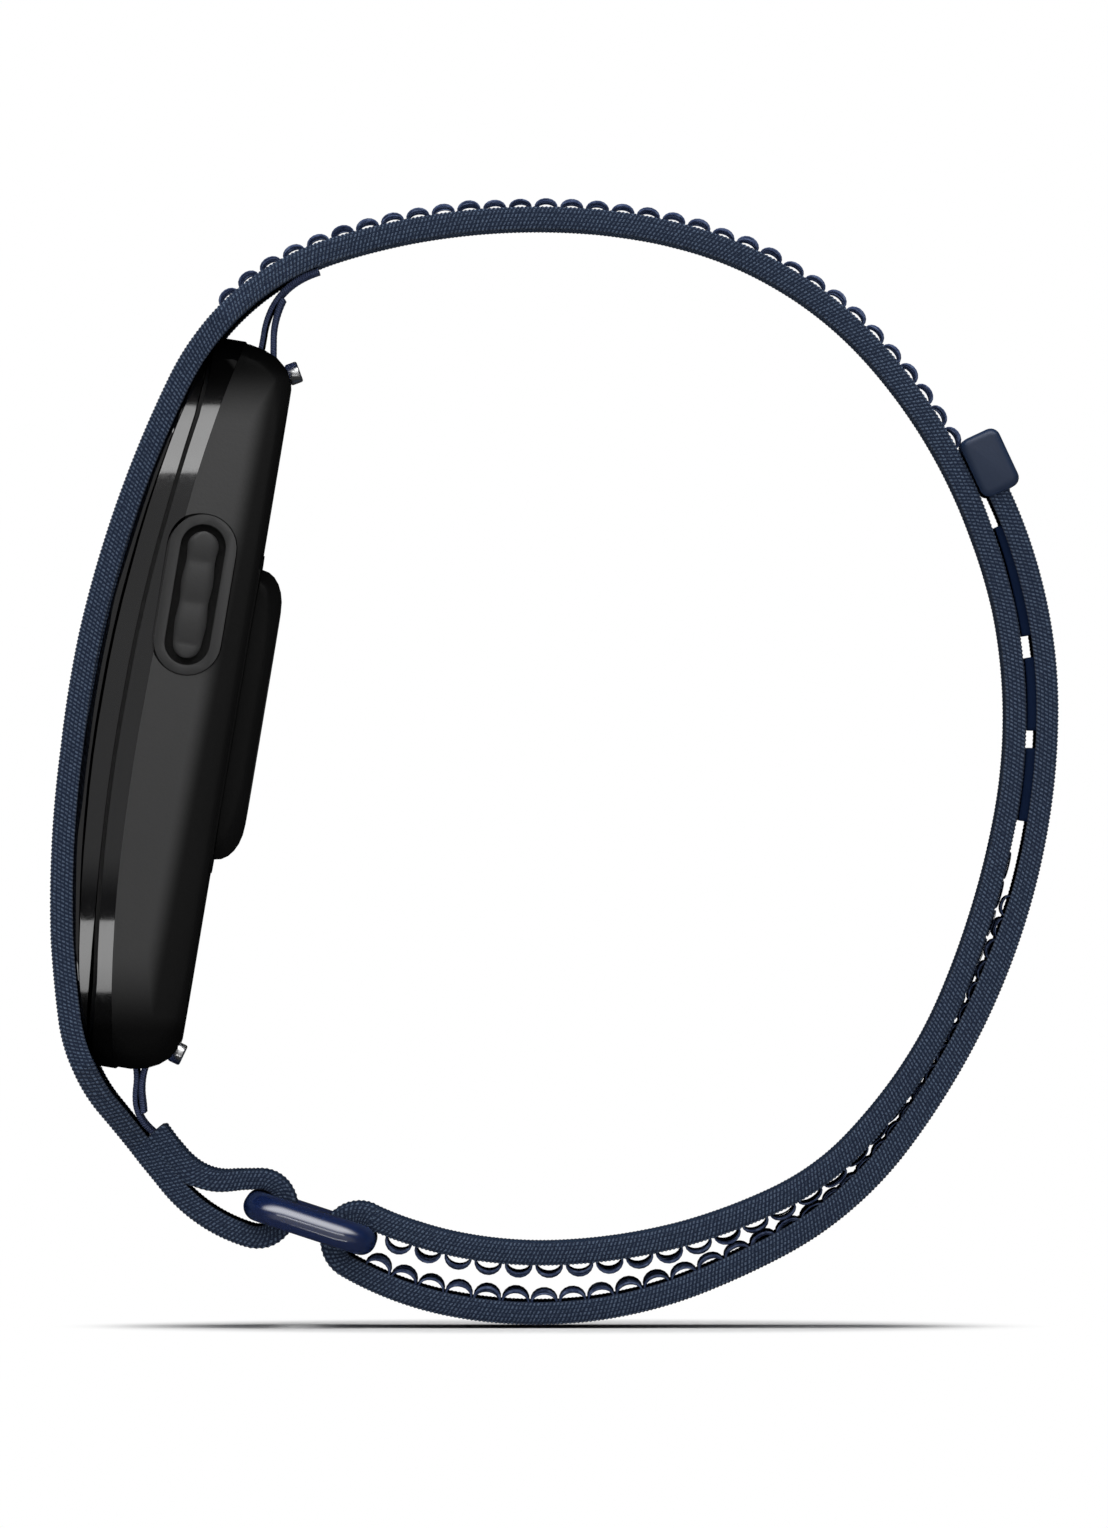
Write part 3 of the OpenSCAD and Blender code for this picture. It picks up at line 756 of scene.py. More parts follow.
@dataclass(frozen=True)
class WovenFinish:
    """Woven nylon with slanted ridges, read from the band's own map in millimetres; its floats are lighter
    than the gaps between them, partly random yarn tone and partly painted highlight and shade.
    """

    name: str
    dark: Colour
    light: Colour
    along: float
    slant: float
    cross: float
    roughness: float = 0.75
    depth: float = 0.06
    sheen: float = 0.15
    edge_gain: float = 1.0

    def make(self, effects: Effects) -> bpy.types.Material:
        """Builds the material: a coarser weave on the broad sides than on the edges."""
        material, wires, shader, place = start_material(self.name)
        uv = wires.add("ShaderNodeUVMap", uv_map="weave").outputs[0]
        edge = wires.add("ShaderNodeAttribute", attribute_name="edge").outputs["Fac"]
        fine = {"Along": self.along, "Slant": self.slant, "Cross": self.cross}
        coarse = {"Along": self.along * 2.2, "Slant": self.slant * 1.9, "Cross": self.cross * 1.6}
        side = wires.group(effects.weave, Place=uv, **fine)
        broad = wires.group(effects.weave, Place=uv, **coarse)
        rub = wires.group(effects.rub, Place=place, Scale=130.0, Amount=0.35)["Mask"]
        gain = wires.math("MULTIPLY_ADD", rub, 0.6, self.edge_gain)
        # Painted highlight and shade: the floats take the light colour and the gaps between them the dark
        # one, lifted where the strap is rubbed.
        painted_float_light_and_rub = wires.math("MULTIPLY", wires.blend(edge, broad["Light"], side["Light"]), gain, clamp=True)
        height = wires.blend(edge, broad["Height"], side["Height"])
        wires.feed(shader, {
            "Base Color": wires.mix(painted_float_light_and_rub, self.dark, self.light),
            "Roughness": wires.math("MULTIPLY_ADD", painted_float_light_and_rub, -0.12, self.roughness),
            "Normal": wires.bump(height, self.depth, 0.8).outputs[0],
            "Sheen Weight": wires.math("MULTIPLY", edge, self.sheen),
            "Specular IOR Level": wires.math("MULTIPLY_ADD", edge, 0.2, 0.02),
            "Sheen Roughness": 0.5,
        })
        return material


@dataclass(frozen=True)
class YarnFinish:
    """Loose filament yarn with fine streaks, read from object coordinates."""

    name: str
    dark: Colour
    light: Colour

    def make(self, effects: Effects) -> bpy.types.Material:
        """Builds the material."""
        material, wires, shader, place = start_material(self.name)
        grain = wires.group(effects.grain, Place=place, Scale=7000.0, Spread=0.2)
        rub = wires.group(effects.rub, Place=place, Scale=2500.0, Amount=1.0)["Mask"]
        wires.feed(shader, {
            "Base Color": wires.mix(rub, self.dark, self.light),
            "Roughness": wires.math("ADD", grain["Rough"], 0.6, clamp=True),
            "Normal": wires.bump(grain["Height"], 0.04, 0.6).outputs[0],
            "Sheen Weight": 0.08,
            "Specular IOR Level": 0.2,
        })
        return material


def pod_finishes() -> dict[str, PlasticFinish]:
    """Returns the finishes of the pod's plastic, glass and rubber."""
    return {
        "glass": PlasticFinish(
            "polished display glass", (0.003, 0.003, 0.004), (0.004, 0.004, 0.005),
            roughness=0.04, grain=9000, depth=0.02, coat=1.0,
        ),
        "display": PlasticFinish(
            "dark display panel", (0.004, 0.004, 0.006), (0.006, 0.006, 0.008),
            roughness=0.2, grain=9000, depth=0.1,
        ),
        # The bend also paints shade on the side walls' ends and back edge.
        "gloss_black": PlasticFinish(
            "piano black", (0.0055, 0.0055, 0.006), (0.007, 0.007, 0.0075),
            roughness=0.05, grain=9000, depth=0.003, coat=1.0, bend=11.1,
        ),
        "seal_rubber": PlasticFinish(
            "black rubber", (0.002, 0.002, 0.002), (0.004, 0.004, 0.004),
            roughness=0.7, grain=5000, depth=0.5,
        ),
        # The bend also paints shade on the side walls' ends and back edge.
        "case_plastic": PlasticFinish(
            "matt charcoal case", (0.036, 0.036, 0.0365), (0.041, 0.041, 0.0415),
            roughness=0.42, grain=5200, depth=0.4, bend=5.0,
        ),
        "button_plastic": PlasticFinish(
            "matt charcoal button", (0.027, 0.027, 0.0275), (0.032, 0.032, 0.033),
            roughness=0.5, grain=5200, depth=0.4,
        ),
        "sensor_glass": PlasticFinish(
            "infrared black window", (0.002, 0.001, 0.003), (0.003, 0.002, 0.004),
            roughness=0.3, grain=9000, depth=0.02, coat=0.15,
        ),
        "baffle_plastic": PlasticFinish(
            "black baffle", (0.003, 0.003, 0.003), (0.005, 0.005, 0.005),
            roughness=0.8,
        ),
    }


def inner_finishes() -> dict[str, Any]:
    """Returns the finishes of the electronics and of every metal part."""
    return {
        "circuit_board": PlasticFinish(
            "green solder mask", (0.006, 0.06, 0.03), (0.01, 0.085, 0.04),
            roughness=0.35, grain=2500, depth=0.3, coat=0.3,
        ),
        "led": PlasticFinish(
            "clear green lens", (0.2, 0.5, 0.15), (0.3, 0.62, 0.2),
            roughness=0.1, grain=3000, depth=0.1, coat=0.5,
        ),
        "chip": PlasticFinish(
            "moulded epoxy", (0.008, 0.008, 0.009), (0.014, 0.014, 0.015),
            roughness=0.6,
        ),
        "flex_circuit": PlasticFinish(
            "polyimide film", (0.3, 0.13, 0.02), (0.38, 0.17, 0.03),
            roughness=0.3, grain=2500, depth=0.2,
        ),
        "tinned_steel": MetalFinish("tinned sheet", (0.55, 0.55, 0.56), 0.3),
        "battery_foil": MetalFinish("foil pouch", (0.48, 0.49, 0.51), 0.4, (1.0, 1.0, 1.0)),
        "contact_gold": MetalFinish("gold plate", (0.75, 0.5, 0.18), 0.18),
        "screw_steel": MetalFinish("blackened screws", (0.12, 0.12, 0.125), 0.35, (0.05, 1.0, 1.0)),
        "bar_steel": MetalFinish("spring bar steel", (0.5, 0.5, 0.51), 0.25),
        "lever_steel": MetalFinish("polished lever", (0.85, 0.85, 0.86), 0.3),
        "spring_wire": MetalFinish("drawn spring wire", (0.45, 0.45, 0.46), 0.3),
    }


def strap_finishes() -> dict[str, Any]:
    """Returns the finishes of the strap, its ring, its tab and its hooks."""
    return {
        "lug_ribbon": WovenFinish(
            "satin lug ribbon", (0.018, 0.03, 0.085), (0.08, 0.105, 0.21),
            along=0.14, slant=0.9, cross=0.4, roughness=0.45, depth=0.02, sheen=0.3, edge_gain=1.1,
        ),
        "strap_nylon": WovenFinish(
            "woven strap nylon", (0.0065, 0.0145, 0.037), (0.075, 0.108, 0.17),
            along=0.25, slant=0.45, cross=0.25, roughness=0.78, sheen=0.08,
        ),
        "loop_yarn": YarnFinish("loop yarn", (0.028, 0.045, 0.11), (0.12, 0.16, 0.28)),
        "ring_gloss": PlasticFinish(
            "gloss navy ring", (0.007, 0.017, 0.07), (0.009, 0.02, 0.08),
            roughness=0.3, grain=450, depth=0.15,
            coat=1.0, specular=0.3, coat_ior=2.0, coat_roughness=0.16, lift=0.3,
        ),
        "tab_plastic": PlasticFinish(
            "satin navy tab", (0.011, 0.023, 0.056), (0.014, 0.028, 0.064),
            roughness=0.42, grain=5200, depth=0.35,
        ),
        "hook_plastic": PlasticFinish(
            "moulded micro hooks", (0.004, 0.013, 0.045), (0.007, 0.018, 0.056),
            roughness=0.8, grain=3500, depth=0.6, specular=0.1,
        ),
    }


def all_finishes(effects: Effects) -> dict[str, bpy.types.Material]:
    """Builds one material for each of the record's slots."""
    kinds = {**pod_finishes(), **inner_finishes(), **strap_finishes()}
    return {slot: kind.make(effects) for slot, kind in kinds.items()}


# ---- The strap ----
Finishes = dict[str, bpy.types.Material]

# How far the worn strap sags to the wrist side of its route, by station, in millimetres.
MAIN_DRIFT: Table = (
    (0, -0.24), (3, -0.14), (20, -0.15), (27, -0.06), (34, -0.04), (40, -0.08), (48, -0.03), (68, 0),
    (73, 0.11), (86, 0.12), (94, 0.18), (101, 0.19), (106, 0.1), (118, 0.06), (133, 0.1), (142, 0.02),
    (153, -0.08), (160, -0.03), (166, -0.13), (172, -0.22), (180, -0.1), (187, -0.34), (195, -0.22), (201, 0),
)
TAIL_DRIFT: Table = (
    (0, 0.24), (1.2, 0.12), (3, -0.1), (5.4, -0.14), (36, -0.14), (48, -0.1),
    (68, -0.14), (80, -0.12), (88, -0.14),
)
# The folded short end's two faces, by distance from where it leaves the ring.
FOLD_LOW: Table = (
    (0, -0.48), (1.5, -0.46), (2.4, -0.4), (3.7, -0.25), (5, -0.05), (6.2, -0.05), (7.5, -0.16),
)
FOLD_HIGH: Table = ((0, 0.7), (1, 0.74), (2, 0.86), (3, 1.05), (3.5, 1.16), (4, 1.4), (7.5, 1.4))
# Where a run is thinner or thicker than the plain webbing, by station.
MAIN_LOW: Table = ((40, -0.7), (46, -0.6), (70, -0.6), (76, -0.7), (196, -0.7), (199, -0.48))
TAIL_HIGH: Table = ((22, 0.7), (32, 0.82), (56, 0.82), (61, 0.66))
PAD_HIGH: Table = ((60, 1.24), (74, 1.24), (79.2, 1.12))
PAD_SPANS = ((60.1, 64.7), (65.9, 70.6), (72.0, 79.2))


def even_columns(count: int, half: float, lines: int = 15) -> np.ndarray:
    """Returns evenly spaced places across a band, the same in every row."""
    return np.tile(np.linspace(-1, 1, lines)[None, :] * half, (count, 1))


@dataclass
class Strap:
    """The one-piece woven strap: short end, display window, wrist run, ring turn and tail."""

    half: float = 10.0
    panel_half: float = 15.5
    thick: float = 1.4
    step: float = 0.125
    rim: float = 0.12
    fold_tuck: float = 0.03
    wrap: float = 1.75
    wrap_from: float = 63.0
    tail_turn: float = 177.0
    right_bar: tuple[float, float] = (-12.06, 5.17)
    window_half: float = 11.25
    window_reach: float = 18.5
    window_round: float = 4.0
    window_play: float = 0.1
    window_span: tuple[float, float] = (100.0, 190.0)
    fold_length: float = 7.3
    hinge: float = 56.0
    hinge_soft: float = 0.8
    tail_end: float = 82.7
    tab_at: float = 83.1
    pad_step: float = 0.2
    pad_low: float = 0.6
    pad_margin: float = 0.7
    wrist: Route = field(init=False)
    tail: Route = field(init=False)
    fold_at: float = field(init=False)
    turn_length: float = field(init=False)

    def __post_init__(self) -> None:
        """Lays out the two routes, which both start on top of the ring's right bar."""
        lift = math.radians(self.wrap_from)
        x, z = self.right_bar
        start = (x + self.wrap * math.cos(lift), z + self.wrap * math.sin(lift))
        heading = self.wrap_from - 90.0
        arcs = (
            (5, 14.5), (7, 15), (14, 22), (6, 21.5), (11, 20.5), (12, 13), (32, 53.5), (16, 38),
            (20, 26.5), (13, 47), (23, 18), (18, 14), (6, 35.5), (6, -4.5), (6, 35),
        )
        turn = 540 - (heading + sum(arc[1] for arc in arcs))
        wrap_length = self.wrap * math.radians(turn)
        self.fold_at = sum(arc[0] for arc in arcs) + wrap_length
        fold = ((1.8, 0.0), (2.7, -50.5), (3.0, 2.0))
        self.wrist = Route(*start, heading, (*arcs, (wrap_length, turn), *fold))
        self.turn_length = self.wrap * math.radians(self.tail_turn)
        tail = ((7, 19), (16, 33), (5, 5.5), (10, 25), (29, 37), (14, 25.5))
        self.tail = Route(*start, self.wrap_from + 90.0, ((self.turn_length, self.tail_turn), *tail))

    def main_drift(self, stations: np.ndarray) -> np.ndarray:
        """Returns the wrist run's sag at the stations."""
        return look_up(MAIN_DRIFT, stations)

    def tail_drift(self, stations: np.ndarray) -> np.ndarray:
        """Returns the tail's sag at the stations."""
        return look_up(TAIL_DRIFT, stations)

    def window_depth(self, stations: np.ndarray, rows: np.ndarray) -> np.ndarray:
        """Returns how far each row lies inside the display window's ends; negative is outside."""
        height = POD.from_scene(rows[:, 0], rows[:, 1])[1]
        beside_pod = (stations > self.window_span[0]) & (stations < self.window_span[1])
        return np.where(beside_pod, self.window_reach - np.abs(height), -1.0)

    def main_band(self) -> bpy.types.Object:
        """Builds the strap from the right bar over the wrist to the folded short end."""
        end = self.fold_at + self.fold_length
        stations = np.linspace(0.0, end, int(end / self.step))
        rows = self.wrist.rows(stations)
        drift = self.main_drift(stations)
        folded = stations > self.fold_at
        low = np.where(folded, look_up(FOLD_LOW, stations - self.fold_at), look_up(MAIN_LOW, stations))
        high = np.where(folded, look_up(FOLD_HIGH, stations - self.fold_at), self.thick / 2)
        widths: Table = ((122, self.half), (131, self.panel_half), (180, self.panel_half), (186, self.half))
        reach = look_up(widths, stations) - self.rim - np.where(folded, self.fold_tuck, 0.0)
        inside = self.window_depth(stations, rows)
        near = np.clip(self.window_round - inside, 0.0, self.window_round)
        corner = self.window_round - np.sqrt(self.window_round**2 - near**2)
        gap = self.window_half + self.window_play - corner
        centre = np.linspace(-1, 1, 7)[None, :] * gap[:, None]
        strip = np.linspace(0, 1, 5)[None, 1:] * (reach - gap)[:, None]
        columns = np.hstack([-(gap[:, None] + strip[:, ::-1]), centre, gap[:, None] + strip])
        open_cells = np.zeros((len(stations) - 1, columns.shape[1] - 1), bool)
        first = strip.shape[1]
        open_cells[(inside[:-1] > 0) & (inside[1:] > 0), first:first + centre.shape[1] - 1] = True
        return Band("strap_main", stations, rows, low + drift, high + drift, columns, open_cells).build()

    def tail_band(self) -> bpy.types.Object:
        """Builds the strap from the ring turn to the end tab."""
        end = self.turn_length + self.tail_end
        stations = np.linspace(0.0, end, int(end / self.step))
        rows = self.tail.rows(stations)
        drift = self.tail_drift(stations)
        low = drift - self.thick / 2
        high = look_up(TAIL_HIGH, stations) + drift
        columns = even_columns(len(stations), self.half - self.rim)
        return Band("strap_tail_run", stations, rows, low, high, columns).build()

    def pads(self) -> bpy.types.Object:
        """Builds the three hook pads as one piece on the tail's wrist side."""
        parts = []
        for index, (first, last) in enumerate(PAD_SPANS):
            stations = self.turn_length + np.arange(first, last, self.pad_step)
            drift = self.tail_drift(stations)
            low = np.full(len(stations), self.pad_low) + drift
            high = look_up(PAD_HIGH, stations - self.turn_length) + drift
            columns = even_columns(len(stations), self.half - self.pad_margin)
            rows = self.tail.rows(stations)
            band = Band(f"pad_{index}", stations, rows, low, high, columns, rim=0.05, relief=0.02)
            parts.append(band.build())
        return join_parts("tail_hook_pads", parts)

    def dress(self, finishes: Finishes) -> list[bpy.types.Object]:
        """Builds both runs and the hook pads, gives them their finish, and sets the wrist run on the tracker
        and the pads on the tail flap.
        """
        main = self.main_band()
        paint(main, finishes["strap_nylon"])
        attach(main, "tracker")
        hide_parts("strap_window_panel", "strap_over_wrist", "strap_short_end")
        tail = self.tail_band()
        paint(tail, finishes["strap_nylon"])
        bend_at = self.turn_length + self.hinge
        face = -self.thick / 2
        before = beside(self.tail.at(bend_at - self.hinge_soft), face)
        after = beside(self.tail.at(bend_at + self.hinge_soft), face)
        LOG.info("tail bends at %.2f, %.2f mm", *beside(self.tail.at(bend_at), face))
        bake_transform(tail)
        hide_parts("strap_ring_turn", "strap_tail", "strap_tail_end")
        pads = self.pads()
        paint(pads, finishes["hook_plastic"])
        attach(pads, "tail_flap")
        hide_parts("hook_pads")
        return [main, tail, pads]


@dataclass
class Ribbon:
    """A lug ribbon that goes round a spring bar, with a notch for the lever.

    The pin is the bar's place in the pod's frame. The ribbon meets it at the begin angle and goes
    round it by the turn; the two plies then leave along the forward and backward arcs.
    """

    name: str
    node: str
    pin: tuple[float, float]
    begin: float
    turn: float
    forward: tuple[tuple[float, float], ...]
    backward: tuple[tuple[float, float], ...]
    thick: float = 0.3
    round_radius: float = 0.97
    step: float = 0.12
    notch_slack: float = 0.6
    edges: tuple[float, ...] = (-9.0, -8.4, -7.4, -4.4, -2, 0, 2, 4, 6, 8, 8.6, 9.0)

    def build(self) -> bpy.types.Object:
        """Builds the ribbon as one band from ply end to ply end."""
        x, z = POD.to_scene(*self.pin)
        angle = math.radians(self.begin)
        start = (x + self.round_radius * math.cos(angle), z + self.round_radius * math.sin(angle))
        wrap = self.round_radius * math.radians(self.turn)
        back = Route(*start, self.begin + 270.0, self.backward)
        ahead = Route(*start, self.begin + 90.0, ((wrap, self.turn), *self.forward))
        first = np.arange(back.length, 0.0, -self.step)
        second = np.linspace(0.0, ahead.length, int(ahead.length / self.step))
        turned = back.rows(first)
        turned[:, 2] += math.pi
        rows = np.vstack([turned, ahead.rows(second)])
        stations = np.concatenate([-first, second])
        columns = np.tile(np.array(self.edges)[None, :], (len(stations), 1))
        cells = np.zeros((len(stations) - 1, len(self.edges) - 1), bool)
        cells[(stations[:-1] > -self.notch_slack) & (stations[:-1] < wrap + self.notch_slack), 2] = True
        half = np.full(len(stations), self.thick / 2)
        fine = {"rim": 0.03, "relief": 0.006, "levels": (0.25, 0.75)}
        return Band(self.name, stations, rows, -half, half, columns, cells, **fine).build()

    def dress(self, finishes: Finishes) -> bpy.types.Object:
        """Builds the ribbon, sets it on the tracker and hides the solid it stands for."""
        piece = self.build()
        paint(piece, finishes["lug_ribbon"])
        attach(piece, "tracker")
        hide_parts(self.node)
        return piece


def lug_ribbons() -> tuple[Ribbon, ...]:
    """Returns the ribbons at the pod's two ends."""
    return (
        Ribbon(
            "upper_ribbon", "upper_lug_ribbon", (1.3, 20.7), 154.3, 235.0,
            ((1.5, -29.3), (1.0, -0.9), (1.0, -11.0), (1.1, -10.6), (0.45, -4.0)),
            ((1.7, 13.3), (1.2, 3.8), (1.2, -13.2), (1.1, -13.7), (1.0, -13.0), (1.0, -13.0), (1.2, -12.0)),
        ),
        Ribbon(
            "lower_ribbon", "lower_lug_ribbon", (0.97, -21.0), -61.8, 215.5,
            ((1.6, 40.7), (0.9, -9.8), (0.9, -12.2), (0.9, 11.0), (0.9, 20.0), (1.0, 22.0), (0.5, 4.0)),
            ((1.5, 47.4), (0.9, 11.7), (0.9, 11.0), (0.8, -5.9)),
        ),
    )


# ---- Yarn loops ----
class LoopTree:
    """A Geometry Nodes tree that grows one yarn loop on each seed point."""

    def __init__(self, material: bpy.types.Material) -> None:
        """Builds the tree with its named sizes."""
        self.tree = bpy.data.node_groups.new("Yarn loops", "GeometryNodeTree")
        self.tree.is_modifier = True
        face = self.tree.interface
        face.new_socket("Seed points", in_out="INPUT", socket_type="NodeSocketGeometry")
        for name, value in (("Loop span", 1.42), ("Yarn radius", 0.13), ("Sway", 0.05)):
            face.new_socket(name, in_out="INPUT", socket_type="NodeSocketFloat").default_value = value
        face.new_socket("Seed", in_out="INPUT", socket_type="NodeSocketInt").default_value = 7
        face.new_socket("Loops", in_out="OUTPUT", socket_type="NodeSocketGeometry")
        wires = Wiring(self.tree)
        start = wires.add("NodeGroupInput").outputs
        tube = self.loop(wires, start)
        turn, size = self.pose(wires, start)
        spots = wires.add("GeometryNodeInstanceOnPoints", {
            "Points": start["Seed points"], "Instance": tube, "Rotation": turn, "Scale": size,
        })
        solid = wires.add("GeometryNodeRealizeInstances", {0: spots.outputs[0]})
        smooth = wires.add("GeometryNodeSetShadeSmooth", {0: solid.outputs[0]})
        dressed = wires.add("GeometryNodeSetMaterial", {"Geometry": smooth.outputs[0], "Material": material})
        wires.feed(wires.add("NodeGroupOutput"), {0: dressed.outputs[0]})

    @staticmethod
    def loop(wires: Wiring, start: Any) -> bpy.types.NodeSocket:
        """Wires one standing loop of yarn, thickest at its top."""
        arch = wires.add("GeometryNodeCurveArc", {
            "Resolution": 10,
            "Radius": wires.math("MULTIPLY", start["Loop span"], 0.5 * MM),
            "Start Angle": 0.0,
            "Sweep Angle": math.pi,
        })
        upright = {"Geometry": arch.outputs[0], "Rotation": (math.pi / 2, 0.0, 0.0)}
        stand = wires.add("GeometryNodeTransform", upright)
        along_arch = wires.add("GeometryNodeSplineParameter").outputs["Factor"]
        swell = wires.math("SINE", wires.math("MULTIPLY", along_arch, math.pi))
        taper = wires.math("MULTIPLY_ADD", swell, 0.75, 0.5)
        stand = wires.add("GeometryNodeSetCurveRadius", {"Curve": stand.outputs[0], "Radius": taper})
        radius = wires.math("MULTIPLY", start["Yarn radius"], MM)
        yarn = wires.add("GeometryNodeCurvePrimitiveCircle", {"Resolution": 6, "Radius": radius})
        tube = wires.add("GeometryNodeCurveToMesh", {
            "Curve": stand.outputs[0], "Profile Curve": yarn.outputs[0], "Scale": taper, "Fill Caps": True,
        })
        return tube.outputs[0]

    @staticmethod
    def pose(wires: Wiring, start: Any) -> tuple[bpy.types.NodeSocket, bpy.types.NodeSocket]:
        """Wires each loop's turn, from its seed point, and its size, with a little chance."""
        up, along = (
            wires.add("GeometryNodeInputNamedAttribute", {0: name}, data_type="FLOAT_VECTOR").outputs[0]
            for name in ("up", "along")
        )
        rise = wires.add("GeometryNodeInputNamedAttribute", {0: "rise"}, data_type="FLOAT").outputs[0]
        axes = {"primary_axis": "Z", "secondary_axis": "X"}
        turn = wires.add("FunctionNodeAxesToRotation", {0: up, 1: along}, **axes)
        lowest = wires.math("MULTIPLY", start["Sway"], -1.0)
        chance = {"Min": lowest, "Max": start["Sway"], "Seed": start["Seed"]}
        jitter = wires.add("FunctionNodeRandomValue", chance, data_type="FLOAT")
        number = next(socket for socket in jitter.outputs if socket.enabled)
        tall = wires.math("MULTIPLY", rise, wires.math("MULTIPLY_ADD", number, 4.0, 0.8))
        size = wires.add("ShaderNodeCombineXYZ", {0: wires.math("ADD", number, 1.0), 1: 1.0, 2: tall})
        return turn.outputs[0], size.outputs[0]

    def grow(self, points: bpy.types.Object, sizes: dict[str, Any]) -> None:
        """Puts the tree on the seed points with its sizes, and makes the result a plain mesh."""
        modifier = points.modifiers.new("yarn loops", "NODES")
        modifier.node_group = self.tree
        for item in self.tree.interface.items_tree:
            if item.in_out == "INPUT" and item.name in sizes:
                modifier[item.identifier] = sizes[item.name]
        bake_modifiers(points)


@dataclass
class LoopField:
    """Rows of yarn loops on one face of the strap; an empty node name means extra dressing."""

    name: str
    node: str
    route: Route
    first: float
    last: float
    side: float
    heights: Table
    drift: Callable[[np.ndarray], np.ndarray]
    pitch: float = 1.6
    yarn: float = 0.08
    across: int = 21
    half: float = 9.2
    foot: float = 0.66
    spacing: float = 0.22
    sway: float = 0.04
    inset: float = 0.03

    def seeds(self) -> bpy.types.Mesh:
        """Returns one point for each loop, with its directions and its rise."""
        stations = np.arange(self.first, self.last + 0.01, self.pitch)
        points, ups, alongs, rises = [], [], [], []
        for station, height, sag in zip(stations, look_up(self.heights, stations), self.drift(stations)):
            x, z, heading = self.route.at(float(station))
            foot = beside((x, z, heading), self.side * self.foot + float(sag))
            for y in np.linspace(-self.half, self.half, self.across):
                points.append((foot[0] * MM, float(y) * MM, foot[1] * MM))
                ups.append((-self.side * math.sin(heading), 0.0, self.side * math.cos(heading)))
                alongs.append((math.cos(heading), 0.0, math.sin(heading)))
                rises.append(float(height) / (0.5 * self.pitch - self.inset))
        mesh = bpy.data.meshes.new(self.name)
        mesh.from_pydata(points, [], [])
        for key, data in (("up", ups), ("along", alongs)):
            values = mesh.attributes.new(key, "FLOAT_VECTOR", "POINT").data
            values.foreach_set("vector", np.array(data, np.float32).ravel())
        mesh.attributes.new("rise", "FLOAT", "POINT").data.foreach_set("value", np.array(rises, np.float32))
        return mesh

    def build(self, tree: LoopTree) -> bpy.types.Object:
        """Lays the seed points and grows a loop on each."""
        mesh = self.seeds()
        piece = bpy.data.objects.new(self.name, mesh)
        bpy.context.scene.collection.objects.link(piece)
        tree.grow(piece, {
            "Loop span": self.pitch - self.spacing, "Yarn radius": self.yarn, "Sway": self.sway,
            "Seed": len(mesh.vertices),
        })
        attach(piece, "tracker")
        if self.node:
            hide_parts(self.node)
        return piece


def from_turn(turn: float, *heights: tuple[float, float]) -> Table:
    """Returns a table of heights whose stations are counted from the end of the ring turn."""
    return [(turn + station, height) for station, height in heights]


def loop_fields(strap: Strap) -> tuple[LoopField, ...]:
    """Returns the four fields of loops: on the outside, on the lower run, and two on the tail."""
    turn = strap.turn_length
    lower: Table = ((3, 0.95), (20, 0.9), (26, 0.72), (30, 0.52), (33, 0.34), (37, 0.12), (52, 0.12))
    tail = from_turn(turn, (3, 0.95), (20, 0.9), (26, 0.72), (30, 0.54), (33, 0.46))
    small = from_turn(turn, (32, 0.48), (36, 0.42), (40, 0.42), (44, 0.5), (57, 0.54))
    wrist, sag, under, slack = strap.wrist, strap.main_drift, strap.tail, strap.tail_drift
    return (
        LoopField("outer_loops", "loops_outer", wrist, 79.22, 130.2, -1.0, ((0, 0.68),), sag, 1.588),
        LoopField("lower_loops", "loops_lower", wrist, 2.05, 52.0, -1.0, lower, sag, 1.85, 0.09),
        LoopField("tail_loops", "loops_tail", under, turn + 1.85, turn + 31.2, 1.0, tail, slack, 1.83, 0.09),
        LoopField("tail_small_loops", "", under, turn + 32.7, turn + 55.2, 1.0, small, slack, 1.46, 0.06),
    )


# ---- Hard parts ----
def finish_mesh(name: str, work: bmesh.types.BMesh, angle: float) -> bpy.types.Object:
    """Makes a piece of a working mesh, with edges over an angle in degrees kept sharp."""
    mesh = bpy.data.meshes.new(name)
    work.to_mesh(mesh)
    work.free()
    piece = add_object(name, mesh)
    sharpen(mesh, angle)
    return piece


@dataclass
class EndTab:
    """The moulded tab on the tail's end, a rounded block."""

    length: float = 3.95
    thick: float = 2.6
    width: float = 21.0
    offset: float = -0.43
    corner: float = 0.62
    rim: float = 0.45

    def build(self, strap: Strap) -> bpy.types.Object:
        """Builds the block in place with rounded edges."""
        x, z, heading = strap.tail.at(strap.turn_length + strap.tab_at)
        x, z = beside((x, z, heading), self.offset)
        along = Vector((math.cos(heading), 0.0, math.sin(heading)))
        out = Vector((-math.sin(heading), 0.0, math.cos(heading)))
        work = bmesh.new()
        bmesh.ops.create_cube(work, size=1.0)
        for vertex in work.verts:
            a, b, c = vertex.co
            spot = Vector((x, 0.0, z)) + along * (a * self.length) + out * (c * self.thick)
            vertex.co = (spot + Vector((0.0, b * self.width, 0.0))) * MM
        bmesh.ops.recalc_face_normals(work, faces=work.faces)
        crosswise = [e for e in work.edges if abs((e.verts[0].co - e.verts[1].co).y) > 0.01]
        rounded = {"profile": 0.5, "affect": "EDGES"}
        bmesh.ops.bevel(work, geom=crosswise, offset=self.corner * MM, segments=6, **rounded)
        ends = [e for e in work.edges if len(e.link_faces) == 2 and e.calc_face_angle() > 1.2]
        bmesh.ops.bevel(work, geom=ends, offset=self.rim * MM, segments=5, **rounded)
        return finish_mesh("strap_end_tab", work, 40)

    def dress(self, strap: Strap, finishes: Finishes) -> None:
        """Builds the tab and sets it on the tail."""
        piece = self.build(strap)
        paint(piece, finishes["tab_plastic"])
        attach(piece, "tail_flap")
        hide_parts("end_tab")


